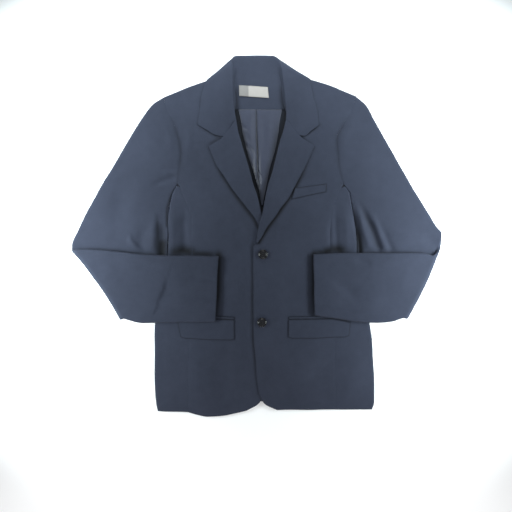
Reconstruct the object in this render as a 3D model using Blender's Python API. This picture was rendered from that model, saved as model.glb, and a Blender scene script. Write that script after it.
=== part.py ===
"""A two-button blazer with notch lapels, laid flat on its back with the forearms folded over it.

X runs to the right, Y up towards the collar and Z up off the surface that it lies on. The tables
and sizes are in millimetres. Left and right are the wearer's, so the wearer's right side is at -X.

Every piece of cloth is a sheet of points at mid thickness, given its wall afterwards. From the
bottom, the layers are the collar's back fall, the back, the lining, the turned-under lapel, the
fronts, the lapels and flaps on them, and the forearms over all.
"""

import math

import bpy
import numpy as np

MM = 0.001                      # one millimetre in metres

# Cloth walls and seams
SHELL = 1.4                     # wall of the wool shell
LINING = 1.0                    # wall of the lining and the label
FACING = 1.2                    # wall of the facing inside the back neck
SEAM = 0.35                     # gap left between two pieces along a seam
LAYER = 0.3                     # gap left between two layers that lie on each other
CURVED_LAYER = 0.45             # the same where both layers curve

# Heights of the middle of each layer
BACK_Z = SHELL / 2
FRONT_Z = 5.5
ON_FRONT = SHELL + LAYER        # from the middle of a front to the middle of what lies on it
BACK_LIFT = 2.2                 # the back rides on the collar's fall by this much
ON_BACK = SHELL / 2 + CURVED_LAYER      # from the middle of the back to the facing's underside
ARM_Z = 6.5                     # upper side of the flattened upper arm

# Folds
LAPEL_ROLL = 1.7                # radius of the lapel's fold, at mid wall
ROLL_INSET = LAPEL_ROLL + SHELL / 2
FRONT_INSET = 2.7               # a front's edge lies this far inside the lapel's fold
SHOULDER_ROLL = 1.5             # radius that a front turns down to the back with at the shoulder
GORGE_GAP = 0.5                 # gap between the collar's ends and the lapels
LAPEL_RETURN = 2.5              # how far the facing turns under the front
ELBOW_Z = 7.8                   # height of the line that each sleeve is folded about
ELBOW_LENGTH = 13.0             # length of sleeve taken up by the elbow's fold
SLEEVE_FRONT_SEAM = 18.0        # the top sleeve wraps this far under at its inner edge
SLEEVE_BACK_SEAM = 9.0          # and this far under at its outer edge
SLEEVE_SEAM = 0.8               # gap along the sleeve's two seams

# Buttons
BUTTON_DIAMETER = 20.0
BUTTON_HEIGHT = 4.0
BUTTON_HOLE = 1.8
BUTTON_HOLE_SPREAD = 3.4
BUTTON_PLACES = {"button_upper": (14.7, -38.5), "button_lower": (12.6, -181.4)}

# The fronts, a row from the outer edge (armhole, then side-panel seam) to the inner edge
# (neck, roll line, front edge). Columns: outer x, outer y, inner x, inner y. None stands for the
# roll line, which the lapel's table gives.
FRONT_RIGHT_ROWS = [
    (-191, 291, -63, 336),
    (-190, 277, -55, 306),
    (-188, 265, -51, 275),
    (-171, 233, None, 244),
    (-162, 204, None, 220),
    (-158, 174, None, 195),
    (-161, 143, None, 168),
    (-165, 111, None, 133),
    (-160, 103, None, 107),
    (-155.5, 91, None, 84),
    (-149, 76, None, 57),
    (-143, 61, None, 43),
    (-132, 29, None, 29),
    (-131, 5, None, 7),
    (-131, -14, 22, -13.5),
    (-132, -30, 29, -27),
    (-133.5, -75, 29, -75),
    (-136, -124, 29, -124),
    (-140.5, -208, 29, -208),
    (-142.5, -281, 28, -278),
    (-143, -330, 19, -328),
    (-143, -350, 6, -352),
    (-143, -371, -20, -367),
]
FRONT_LEFT_ROWS = [
    (206, 291, 74, 338),
    (205, 277, 69, 306),
    (201, 263, 69.5, 275),
    (185, 238, None, 244),
    (170, 204, None, 220),
    (172, 174, None, 197),
    (175, 143, None, 168),
    (183, 109, None, 134),
    (179, 101, None, 103),
    (174, 91, None, 87),
    (168, 76, None, 71),
    (163, 61, None, 50),
    (158, 29, None, 27),
    (156, 5, None, 4),
    (156, -14, 3, -15.5),
    (156.3, -30, -5.8, -21),
    (159, -75, -6, -75),
    (161, -124, -6, -124),
    (165, -208, -5, -208),
    (167, -281, 0, -275),
    (168, -330, 6, -328),
    (168, -348, 18, -352),
    (168, -364, 44, -365.5),
]
ARMHOLE_ROWS = 8                # the rows above that end on the armhole
SEAM_START = ARMHOLE_ROWS       # the first row that ends on the side panel's seam
FRONT_RIGHT_SHOULDER = [(-191, 291), (-132, 314.5), (-104, 324.5), (-63, 336)]
FRONT_LEFT_SHOULDER = [(206, 291), (158, 315), (122, 326), (74, 338)]
HEM_RIGHT = [(-143, -371), (-130, -375), (-95, -380), (-62, -376.5), (-20, -367)]
FRONT_COLUMNS = {-1: 8, 1: 11}   # points across the right front and the left front

# The side panels, a row for each seam row of the front beside them. Columns: fold x, fold y,
# back seam x, back seam y.
SIDE_RIGHT_ROWS = [
    (-167, 107, -159.5, 101),
    (-175, 93, -154, 90),
    (-180, 77, -151, 76),
    (-182, 63, -152, 61),
    (-187, 29, -157, 29),
    (-186, 5, -157, 5),
    (-185, -14, -156, -14),
    (-185.5, -30, -157, -30),
    (-192, -75, -163, -75),
    (-202, -124, -173, -124),
    (-212, -208, -183, -208),
    (-212, -281, -183, -281),
    (-210, -330, -181, -330),
    (-208, -350, -179, -348),
    (-204, -368, -176, -362),
]
SIDE_LEFT_ROWS = [
    (186, 105, 178, 101),
    (195, 94, 174, 90),
    (203, 80, 174, 76),
    (208, 63, 178, 61),
    (214, 29, 184, 29),
    (213, 5, 184, 5),
    (212.5, -14, 183, -14),
    (212.5, -30, 183, -30),
    (218.5, -75, 190, -75),
    (228, -124, 199, -124),
    (241, -208, 212, -208),
    (246, -281, 217, -281),
    (248, -330, 219, -330),
    (247, -348, 218, -348),
    (240, -364, 212, -362),
]
BACK_TOP = [(-191, 291), (-132, 314.5), (-104, 324.5), (-63, 336), (-34, 346), (0, 349),
            (40, 346), (74, 338), (122, 326), (158, 315), (206, 291)]
BACK_LEVEL_Y = 204              # from here down the back's rows are level
BACK_ROW_PLACES = [0, 1, 1.5, 2, 2.33, 2.67, 3, 4, 5, 6, 7]  # by the armhole's points
BACK_COLUMNS = 12

# The lapels, a row from the roll line to the outer edge. Columns: roll x, roll y, edge x,
# edge y, curl of the fold in degrees.
LAPEL_RIGHT_ROWS = [
    (-41, 244, -100, 187, 180),
    (-37, 220, -93.5, 170, 180),
    (-30, 195, -84, 149, 180),
    (-22, 168, -70, 129, 180),
    (-12, 133, -54, 104, 180),
    (-5.5, 107, -36, 80, 180),
    (3, 84, -20, 60, 180),
    (10, 57, -3, 38, 180),
    (16, 29, 8, 17, 180),
    (21, 7, 17.5, 0, 180),
    (24, -8, 23, -11.5, 180),
]
LAPEL_LEFT_ROWS = [
    (62, 244, 123, 188, 180),
    (57, 220, 115.5, 170, 180),
    (50, 197, 106, 150, 180),
    (42, 168, 93, 126, 180),
    (34, 134, 80, 101, 180),
    (24, 103, 67, 77, 180),
    (21, 87, 59.5, 68, 150),
    (18, 71, 52, 59, 110),
    (14, 50, 40, 40, 90),
    (7, 27, 24, 18, 90),
    (3, 4, 14, 0, 90),
    (0, -13, 5.5, -15, 90),
]
NOTCH_RIGHT = (-72, 205)        # where collar and lapel part
NOTCH_LEFT = (95, 211)

# The collar, a row for each station from the right notch round the neck to the left notch.
# Columns: fold x, y, z (its centre), fold radius, reach of the stand from there to the neck seam,
# height of the neck seam, outer edge x, y, z, roll of the fall (0 on top, 180 beneath), dip of
# the notch.
COLLAR_ROWS = [
    (-43.4, 244, 5.5, 1.7, -2.5, 3.8, -124, 235, 7.2, 0, 35.7),
    (-47.0, 262, 6.4, 1.7, 1.7, 4.2, -123, 248, 7.2, 0, 21),
    (-49.0, 282, 7.8, 1.7, 5.5, 4.8, -119.5, 266, 7.2, 0, 9),
    (-50.0, 302, 8.9, 1.7, 8.5, 6.0, -117.5, 286, 7.2, 0, 2),
    (-50.0, 322, 9.2, 1.8, 10.5, 6.3, -114, 303, 7.3, 0, 0),
    (-50.0, 342, 8.4, 2.1, 14.0, 6.3, -110, 316, 7.4, 12, 0),
    (-49.5, 358, 7.0, 2.4, 19.0, 6.3, -106.5, 326, 6.8, 40, 0),
    (-48.0, 368, 5.4, 2.6, 25.0, 6.3, -103.5, 330.5, 4.2, 90, 0),
    (-44.5, 372.5, 4.2, 2.75, 31.0, 6.25, -100.5, 328.5, 1.8, 130, 0),
    (-38.0, 373.6, 3.6, 2.78, 35.0, 6.25, -97, 321, 0.8, 165, 0),
    (-22.0, 374.2, 3.48, 2.78, 37.0, 6.25, -60, 319, 0.7, 180, 0),
    (2.0, 374.8, 3.48, 2.78, 38.0, 6.25, 2, 326, 0.7, 180, 0),
    (22.0, 375.2, 3.48, 2.78, 37.0, 6.25, 62, 320, 0.7, 180, 0),
    (35.0, 375.2, 3.6, 2.78, 34.0, 6.25, 106, 322, 0.8, 165, 0),
    (43.0, 372.0, 4.2, 2.75, 29.0, 6.25, 113.5, 331.5, 1.7, 130, 0),
    (48.5, 364.5, 5.4, 2.6, 23.0, 6.3, 116, 332.5, 4.2, 90, 0),
    (53.0, 353, 7.0, 2.4, 18.0, 6.3, 119, 328, 6.8, 40, 0),
    (56.5, 338, 8.4, 2.1, 13.5, 6.3, 119.5, 316, 7.4, 12, 0),
    (59.0, 320, 9.2, 1.8, 10.5, 6.3, 120, 303, 7.3, 0, 0),
    (61.5, 300, 8.9, 1.7, 8.5, 6.0, 122, 291, 7.2, 0, 2),
    (63.0, 281, 7.8, 1.7, 5.5, 4.8, 127, 275, 7.2, 0, 9),
    (65.0, 262, 6.4, 1.7, 1.7, 4.2, 133, 257, 7.2, 0, 19),
    (64.4, 244, 5.5, 1.7, -2.5, 3.8, 134.5, 238, 7.2, 0, 30.4),
]
NOTCH_PLACE = {-1: 0.37, 1: 0.44}   # how far along the fall the notch's dip is deepest

# Inside the neck. Columns: y, left end x, right end x.
FACING_ROWS = [
    (342, -34, 40),
    (334, -41, 48),
    (326, -44, 53),
    (318, -45, 55),
    (308, -45, 56),
    (299, -45, 57),
    (290, -44, 58),
    (281, -44, 59),
    (266.4, -43, 60),
]
LINING_ROWS = [
    (265.9, -43, 60),
    (240, -42, 62),
    (215, -40, 60),
    (190, -33, 52),
    (165, -25, 45),
    (140, -18, 40),
    (115, -10, 34),
    (90, -3, 27),
    (65, 4, 22),
]
PLEAT = [(262, -1), (172, 2), (118, 4)]     # y and x of the centre-back pleat's edge
PLEAT_WIDTH = 13.0
PLEAT_HEIGHT = 1.1
LABEL_CORNERS = [(-35.5, 316.5), (25, 313), (27.5, 290), (-35.5, 294)]

# Sleeves as they lie. Columns: outer x, outer y, inner x, inner y; the forearm's outer edge is
# its upper one. The first row is the armhole and the row at the elbow is its fold.
SLEEVE_RIGHT_UPPER = [
    (-236, 250, -194, 6),
    (-290, 163, -207, -34),
    (-340, 79, -230, -86),
    (-376, 8, -257, -145),
]
SLEEVE_RIGHT_ELBOW = (-392, -25, -273, -180)
SLEEVE_RIGHT_FOREARM = [
    (-330, -29, -254, -180.5),
    (-250, -37, -195, -181),
    (-160, -41, -135, -181),
    (-78.5, -41.5, -85, -180),
]
SLEEVE_LEFT_UPPER = [
    (248, 245, 220, 4),
    (290, 166, 230, -40),
    (336, 85, 255, -104),
    (372, 22, 290, -150),
]
SLEEVE_LEFT_ELBOW = (391.5, 1, 312, -178)
SLEEVE_LEFT_FOREARM = [
    (358, -34, 284, -180),
    (290, -36, 220, -181),
    (200, -36, 168, -173),
    (120, -38, 122, -167),
]

# Pockets
WELT_CORNERS = [(82, 101), (148.5, 110.5), (148.5, 92), (74, 77)]
FLAP_LEFT_TOP = [(69, -175.5), (122, -174.5), (155, -173), (183, -177), (199, -182)]
FLAP_LEFT_BOTTOM = [(67, -216), (196, -213)]
FLAP_RIGHT_TOP = [(-166, -177), (-120, -174), (-80, -174), (-45, -176)]
FLAP_RIGHT_BOTTOM = [(-158, -215), (-45, -220)]
JET_WIDTH = 5.5
FLAP_CORNER = 5.0
FLAP_COLUMNS = 13

MATERIALS = {
    "shell": ((0.045, 0.052, 0.075), 0.85),
    "lining": ((0.085, 0.100, 0.165), 0.40),
    "label": ((0.72, 0.70, 0.64), 0.60),
    "button": ((0.012, 0.012, 0.014), 0.20),
}


def smooth(value):
    """Ease from 0 to 1 as the value does, and stay there outside."""
    value = np.clip(value, 0.0, 1.0)
    return value * value * (3.0 - 2.0 * value)


def spread(points, count, ease=1.0):
    """Return points at even steps along a line, drawn towards its end if ease is above 1."""
    points = np.asarray(points, float)
    steps = np.linalg.norm(np.diff(points, axis=0), axis=1)
    along = np.concatenate([[0.0], np.cumsum(steps)])
    share = 1.0 - (1.0 - np.linspace(0.0, 1.0, count)) ** ease
    wanted = along[-1] * share
    return np.stack([np.interp(wanted, along, points[:, k]) for k in range(points.shape[1])], axis=1)


def unit(vector):
    """Scale vectors to a length of one."""
    return vector / np.maximum(np.linalg.norm(vector, axis=-1, keepdims=True), 1e-9)


def side_normals(line):
    """Return the normals in plan, to the right of the way along the line."""
    line = np.asarray(line, float)[:, :2]
    steps = unit(np.diff(line, axis=0))
    ahead = np.vstack([steps, steps[-1:]])
    behind = np.vstack([steps[:1], steps])
    way = unit(ahead + behind)
    return np.stack([way[:, 1], -way[:, 0]], axis=1)


def moved(line, distance):
    """Move a line in plan to the right of the way along it."""
    line = np.array(line, float)
    line[:, :2] += side_normals(line) * distance
    return line


def arc(centre, towards, radius, start, end, count):
    """Return points on an upright arc; 0 degrees is straight up and 90 is level with towards."""
    angles = np.radians(np.linspace(start, end, count))
    level = np.outer(np.sin(angles), np.append(towards, 0.0))
    rise = np.outer(np.cos(angles), [0.0, 0.0, 1.0])
    return np.asarray(centre) + radius * (level + rise)


def at_height(points, height):
    """Give plan points a height, which may be a number or a function of x and y."""
    points = np.asarray(points, float)
    z = height(points[:, 0], points[:, 1]) if callable(height) else np.full(len(points), height)
    return np.column_stack([points[:, :2], z])


def back_z(x, y):
    """Middle of the back: flat, and lifted over the collar's fall behind the neck."""
    near_neck = 1.0 - smooth((np.abs(x - 5.0) - 125.0) / 30.0)
    return BACK_Z + BACK_LIFT * near_neck * smooth((y - 265.0) / 48.0)


def front_right_z(x, y):
    """Middle of the under front, which is level."""
    return np.full(np.broadcast(x, y).shape, FRONT_Z)


def front_left_z(x, y):
    """Middle of the upper front, lifted where it laps over the under front and its lapel."""
    across = 1.0 - smooth((x - 36.0) / 45.0)
    start = 1.0 - smooth((y - 62.0) / 60.0)
    over_lapel = smooth((y + 21.0) / 5.0)
    return FRONT_Z + across * start * ON_FRONT * (1.0 + over_lapel)


def make_material(name):
    """Make a plain material for one kind of cloth or for the buttons."""
    colour, roughness = MATERIALS[name]
    material = bpy.data.materials.new(name)
    material.use_nodes = True
    shader = material.node_tree.nodes["Principled BSDF"]
    shader.inputs["Base Color"].default_value = (*colour, 1.0)
    shader.inputs["Roughness"].default_value = roughness
    shader.inputs["Metallic"].default_value = 0.0
    return material


def add_object(name, vertices, faces, material):
    """Add one closed mesh, in metres, facing out and smooth but for its edges."""
    mesh = bpy.data.meshes.new(name)
    mesh.from_pydata([tuple(v) for v in np.asarray(vertices) * MM], [], faces)
    mesh.validate()
    mesh.materials.append(material)
    volume = 0.0
    for face in mesh.polygons:
        corners = [mesh.vertices[k].co for k in face.vertices]
        for second, third in zip(corners[1:], corners[2:]):
            volume += corners[0].dot(second.cross(third))
    if volume < 0.0:
        mesh.flip_normals()
    mesh.shade_smooth()
    mesh.set_sharp_from_angle(angle=math.radians(50.0))
    thing = bpy.data.objects.new(name, mesh)
    bpy.context.scene.collection.objects.link(thing)
    return thing


def wall(name, sheet, thickness, material, place=None):
    """Make a sheet of points, a list of rows, into a wall of cloth with its own thickness."""
    sheet = np.asarray(sheet, float)
    rows, columns = sheet.shape[:2]

    def way(axis):
        steps = unit(np.diff(sheet, axis=axis))
        first = np.take(steps, [0], axis=axis)
        last = np.take(steps, [-1], axis=axis)
        return unit(np.concatenate([first, steps], axis=axis) + np.concatenate([steps, last], axis=axis))

    offset = unit(np.cross(way(1), way(0))) * thickness / 2
    vertices = np.concatenate([(sheet + offset).reshape(-1, 3), (sheet - offset).reshape(-1, 3)])
    if place is not None:
        vertices = place(vertices)
    under = rows * columns

    def index(row, column):
        return row * columns + column

    faces = []
    for row in range(rows - 1):
        for column in range(columns - 1):
            corners = (index(row, column), index(row, column + 1),
                       index(row + 1, column + 1), index(row + 1, column))
            faces.append(corners)
            faces.append(tuple(under + k for k in reversed(corners)))
    rim = [index(0, column) for column in range(columns)]
    rim += [index(row, columns - 1) for row in range(1, rows)]
    rim += [index(rows - 1, column) for column in range(columns - 2, -1, -1)]
    rim += [index(row, 0) for row in range(rows - 2, 0, -1)]
    for here, after in zip(rim, rim[1:] + rim[:1]):
        faces.append((after, here, under + here, under + after))
    return add_object(name, vertices, faces, material)


def front_sheet(table, lapel, shoulder, hem, height, outward):
    """Lay out a front from its shoulder, which turns down to the back, to its hem."""
    roll_edge = moved([row[:2] for row in lapel], outward * -FRONT_INSET)
    lines = []
    for outer_x, outer_y, inner_x, inner_y in table:
        if inner_x is None:
            inner_x = np.interp(-inner_y, -roll_edge[:, 1], roll_edge[:, 0])
        lines.append([(outer_x, outer_y), (inner_x, inner_y)])
    lines[0] = shoulder
    if hem is not None:
        lines[-1] = hem
    columns = FRONT_COLUMNS[outward]
    flat = [spread(line, columns, 1.25) for line in lines]
    over_edge = side_normals(flat[0]) * outward
    inset = SHOULDER_ROLL + SHELL / 2
    top = flat[0] - over_edge * inset
    rows = []
    low = back_z(flat[0][:, 0], flat[0][:, 1]) + SHELL / 2 + 3 * LAYER
    low = np.minimum(low, FRONT_Z - SHOULDER_ROLL - LAYER / 2)
    rows.append(np.column_stack([top + over_edge * SHOULDER_ROLL, low]))
    for angle in (90.0, 60.0, 30.0, 0.0):
        level = math.sin(math.radians(angle)) * SHOULDER_ROLL
        rise = FRONT_Z - (1.0 - math.cos(math.radians(angle))) * SHOULDER_ROLL
        rows.append(np.column_stack([top + over_edge * level, np.full(columns, rise)]))
    for line in flat[1:]:
        rows.append(at_height(line, height))
    return rows


def seam_line(table):
    """Return the outer ends of the front's rows that lie along the side panel."""
    return [row[:2] for row in table[SEAM_START:]]


def side_sheet(front_table, side_table, outward):
    """Wrap a side panel from its seam with the front round the side to the back seam."""
    seams = moved(seam_line(front_table), outward * SEAM)
    rows = []
    for seam, (fold_x, fold_y, back_x, back_y) in zip(seams, side_table):
        radius = (FRONT_Z - BACK_Z) / 2
        fold = np.array([fold_x, fold_y], float)
        way = unit(fold - seam)
        middle = fold - way * (radius + SHELL / 2)
        centre = np.append(middle, FRONT_Z - radius)
        upper = spread([(*seam, FRONT_Z), (*middle, FRONT_Z)], 3)[:-1]
        turn = arc(centre, way, radius, 0.0, 180.0, 5)
        lower = spread([(*middle, BACK_Z), (back_x, back_y, BACK_Z)], 3)[1:]
        rows.append(np.vstack([upper, turn, lower]))
    return rows


def back_sheet():
    """Lay out the back, between the armholes and then between the side panels."""
    top = spread(BACK_TOP, BACK_COLUMNS)
    rise = top[:, 1] - top[0, 1]
    rows = []
    for place in BACK_ROW_PLACES:
        before, share = int(place), place - int(place)
        ends = []
        for table in (FRONT_RIGHT_ROWS, FRONT_LEFT_ROWS):
            start, end = np.array(table[before][:2], float), np.array(table[before + 1][:2], float)
            ends.append(start + (end - start) * share)
        line = spread(ends, BACK_COLUMNS)
        line[:, 1] += rise * max(0.0, line[0, 1] - BACK_LEVEL_Y) / (top[0, 1] - BACK_LEVEL_Y)
        rows.append(line)
    right_seam = moved([row[2:] for row in SIDE_RIGHT_ROWS], -SEAM)
    left_seam = moved([row[2:] for row in SIDE_LEFT_ROWS], SEAM)
    rows += [spread([right, left], BACK_COLUMNS) for right, left in zip(right_seam, left_seam)]
    return [at_height(row, back_z) for row in rows]


def lapel_sheet(table, notch, height, away):
    """Lay a lapel on its front, with its fold rolled round the front's edge."""
    rolls = np.array([row[:2] for row in table], float)
    normals = side_normals(rolls) * away
    rows = []
    for number, (roll_x, roll_y, edge_x, edge_y, curl) in enumerate(table):
        normal = normals[number]
        middle = np.array([roll_x, roll_y]) + normal * ROLL_INSET
        line = [(edge_x, edge_y), tuple(middle)]
        if number == 0:
            line.insert(1, notch)
        flat = at_height(spread(line, 6), height)
        flat[:, 2] += ON_FRONT
        top = flat[-1, 2]
        turn = arc((*middle, top - LAPEL_ROLL), -normal, LAPEL_ROLL, 0.0, curl, 6)
        angle = math.radians(curl)
        onward = np.append(-normal * math.cos(angle), -math.sin(angle))
        under = turn[-1] + onward * max(0.4, LAPEL_RETURN * (curl - 90.0) / 90.0)
        rows.append(np.vstack([flat, turn[1:], under]))
    return rows


def collar_sheet():
    """Lead the collar round the neck: stand, rolled fold and fall at each station."""
    folds = np.array([row[:3] for row in COLLAR_ROWS])
    inward = side_normals(folds[:, :2])
    rows = []
    for number, row in enumerate(COLLAR_ROWS):
        radius, reach, roll, dip = row[3], row[4], math.radians(row[9]), row[10]
        centre = folds[number]
        drop = centre[2] - row[5]
        stand = math.sqrt(reach ** 2 + drop ** 2 - radius ** 2)
        slope = math.atan2(drop, reach) + math.atan2(radius, stand)
        edge = np.array(row[6:9])
        side = -1 if number < len(COLLAR_ROWS) / 2 else 1
        into = np.append(inward[number], 0.0)
        up = np.array([0.0, 0.0, 1.0])
        stand_face = math.cos(slope) * up + math.sin(slope) * into
        stand_way = math.cos(slope) * into - math.sin(slope) * up
        fall_way = unit(np.append((edge - centre)[:2], 0.0))
        outward = np.array([fall_way[1], -fall_way[0], 0.0]) * -side
        fall_face = math.cos(roll) * up + math.sin(roll) * outward
        crest = unit(stand_face + fall_face - stand_way - fall_way)
        faces = []
        for first, second in ((stand_face, crest), (crest, fall_face)):
            for share in (0.0, 1 / 3, 2 / 3):
                faces.append(slerp(first, second, share))
        faces.append(fall_face)
        turn = centre + radius * np.array(faces)
        seam = turn[0] + stand_way * stand
        dip_at = turn[-1] + (edge - turn[-1]) * NOTCH_PLACE[side] - np.array([0.0, dip, 0.0])
        fall = spread([turn[-1], dip_at, edge], 6)
        inner = spread([seam, turn[0]], 3)
        rows.append(np.vstack([inner[:-1], turn, fall[1:]]))
    rows[0][:, 1] += GORGE_GAP
    rows[-1][:, 1] += GORGE_GAP
    return rows


def slerp(first, second, share):
    """Turn one direction towards another by a share of the angle between them."""
    angle = math.acos(float(np.clip(np.dot(first, second), -1.0, 1.0)))
    if angle < 1e-4:
        return first
    return (math.sin((1 - share) * angle) * first + math.sin(share * angle) * second) / math.sin(angle)


def facing_z(x, y):
    """Middle of the facing, which lies on the back."""
    return back_z(x, y) + ON_BACK + FACING / 2


def lining_z(x, y):
    """Middle of the lining, raised along one side of its centre pleat."""
    flat = BACK_Z + SHELL / 2 + LAYER + LINING / 2
    edge = np.interp(-y, [-row[0] for row in PLEAT], [row[1] for row in PLEAT])
    rise = smooth((x - edge + PLEAT_WIDTH) / PLEAT_WIDTH) * (1.0 - smooth((x - edge) / 1.5))
    return flat + PLEAT_HEIGHT * rise * smooth((y - 120.0) / 35.0)


def lining_sheet():
    """Lay the lining on the back, with points gathered at the pleat."""
    rows = []
    for y, start, end in LINING_ROWS:
        edge = float(np.interp(-y, [-row[0] for row in PLEAT], [row[1] for row in PLEAT]))
        steps = [start, (start + edge - PLEAT_WIDTH) / 2, edge - PLEAT_WIDTH, edge - PLEAT_WIDTH / 2,
                 edge - 1.0, edge, edge + 0.75, edge + 1.5, (edge + 1.5 + end) / 2, end]
        if y < 70.0:
            steps = np.linspace(start, end, len(steps))
        rows.append(at_height([(x, y) for x in steps], lining_z))
    return rows


def four_corner_sheet(corners, across, down, height):
    """Fill the outline between four corners, given round from the upper left."""
    upper_left, upper_right, lower_right, lower_left = (np.array(c, float) for c in corners)
    rows = []
    for share in np.linspace(0.0, 1.0, down):
        start = upper_left + (lower_left - upper_left) * share
        end = upper_right + (lower_right - upper_right) * share
        rows.append(at_height(spread([start, end], across), height))
    return rows


def flap_sheet(top, bottom, height):
    """Lay out a pocket flap with rounded lower corners."""
    count = FLAP_COLUMNS
    upper = spread(top, count)
    lower = spread(bottom, count)
    width = np.linalg.norm(lower[-1] - lower[0])
    from_end = np.minimum(np.linspace(0, width, count), width - np.linspace(0, width, count))
    reach = np.clip(FLAP_CORNER * 2 - from_end, 0.0, FLAP_CORNER * 2) / 2
    lower[:, 1] += FLAP_CORNER - np.sqrt(FLAP_CORNER ** 2 - reach ** 2)
    return [at_height(upper + (lower - upper) * share, height) for share in np.linspace(0, 1, 3)]


def jet_sheet(top, height):
    """Lay out the narrow jet above a flap."""
    line = spread(top, FLAP_COLUMNS)
    return [at_height(line + np.array([0.0, SEAM + JET_WIDTH * share]), height) for share in (1.0, 0.0)]


def reflect(point, start, end):
    """Reflect a plan point in the line from start to end."""
    way = unit(np.asarray(end) - np.asarray(start))
    reach = np.asarray(point) - np.asarray(start)
    return np.asarray(start) + 2.0 * way * reach.dot(way) - reach


class Sleeve:
    """One sleeve, laid out straight and then folded at the elbow over its own upper arm."""

    def __init__(self, front_table, side_table, upper, elbow, forearm, side):
        self.side = side
        outer, inner = np.array(elbow[:2], float), np.array(elbow[2:], float)
        way = unit(inner - outer)
        self.out = np.array([-way[1], way[0]]) * side
        reach = ELBOW_Z - BACK_Z + SHELL / 2
        self.start = outer - self.out * reach + way * 1.5
        self.end = inner - self.out * reach - way * 1.5
        hole = [row[:2] for row in front_table[:ARMHOLE_ROWS]]
        low = [row[:2] for row in side_table[1:] if row[1] > 20.0]
        armhole = moved(hole + low, side * -SEAM)
        armhole[-1, 0] += side * 0.6
        self.columns = len(armhole)
        self.stations = [armhole]
        for number, (outer_x, outer_y, inner_x, inner_y) in enumerate(upper):
            straight = spread([(outer_x, outer_y), (inner_x, inner_y)], self.columns)
            chord = spread([armhole[0], armhole[-1]], self.columns)
            bulge = (armhole - chord) * max(0.0, 0.55 - 0.35 * number)
            self.stations.append(straight + bulge)
        axis = spread([self.start, self.end], self.columns)
        self.stations.append(axis)
        for share in (1 / 3, 2 / 3, 1.0):
            self.stations.append(axis + self.out * ELBOW_LENGTH * share)
        for outer_x, outer_y, inner_x, inner_y in forearm:
            ends = [reflect(end, self.start, self.end) + self.out * ELBOW_LENGTH
                    for end in ((outer_x, outer_y), (inner_x, inner_y))]
            self.stations.append(spread(ends, self.columns))

    def fold(self, points):
        """Bend the straight sleeve about its elbow line."""
        plan = points[:, :2] - self.start
        distance = plan.dot(self.out)
        angle = np.clip(distance / ELBOW_LENGTH, 0.0, 1.0) * math.pi
        foot = points[:, :2] - np.outer(distance, self.out)
        arm = ELBOW_Z - points[:, 2]
        past = np.maximum(distance - ELBOW_LENGTH, 0.0)
        level = np.where(distance <= 0.0, distance, arm * np.sin(angle) - past)
        rise = np.where(distance <= 0.0, points[:, 2], ELBOW_Z - arm * np.cos(angle))
        return np.column_stack([foot + np.outer(level, self.out), rise])

    def sections(self):
        """Return each station's upper line, its two folds' centres and its lower line."""
        for number, line in enumerate(self.stations):
            top = FRONT_Z + (ARM_Z - FRONT_Z) * min(1.0, number / 2)
            radius = (top - BACK_Z) / 2
            inset = radius + SHELL / 2
            first_way = unit(line[0] - line[1])
            last_way = unit(line[-1] - line[-2])
            first = line[0] - first_way * inset
            last = line[-1] - last_way * inset
            yield top, radius, first_way, last_way, np.array([first, *line[1:-1], last])

    def top_sheet(self):
        """Return the top sleeve, which wraps under at both edges."""
        rows = []
        for top, radius, first_way, last_way, line in self.sections():
            lower = self.under_line(line)
            outer_turn = arc((*line[0], top - radius), first_way, radius, 180.0, 0.0, 5)
            inner_turn = arc((*line[-1], top - radius), last_way, radius, 0.0, 180.0, 5)
            outer_under = [(*lower[0], BACK_Z)]
            inner_under = [(*lower[-1], BACK_Z)]
            upper = at_height(line, top)[1:-1]
            rows.append(np.vstack([outer_under, outer_turn, upper, inner_turn, inner_under]))
        return rows

    def under_line(self, line):
        """Return the line of the under sleeve, between its two seams."""
        steps = np.linalg.norm(np.diff(line, axis=0), axis=1)
        along = np.concatenate([[0.0], np.cumsum(steps)])
        wanted = [SLEEVE_BACK_SEAM, *along[2:-2], along[-1] - SLEEVE_FRONT_SEAM]
        return np.stack([np.interp(wanted, along, line[:, k]) for k in (0, 1)], axis=1)

    def under_sheet(self):
        """Return the under sleeve, a seam's gap away from the top sleeve at each edge."""
        rows = []
        for _, _, _, _, line in self.sections():
            lower = self.under_line(line)
            lower[0] += unit(lower[1] - lower[0]) * SLEEVE_SEAM
            lower[-1] += unit(lower[-2] - lower[-1]) * SLEEVE_SEAM
            rows.append(at_height(lower, BACK_Z))
        return rows


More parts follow.
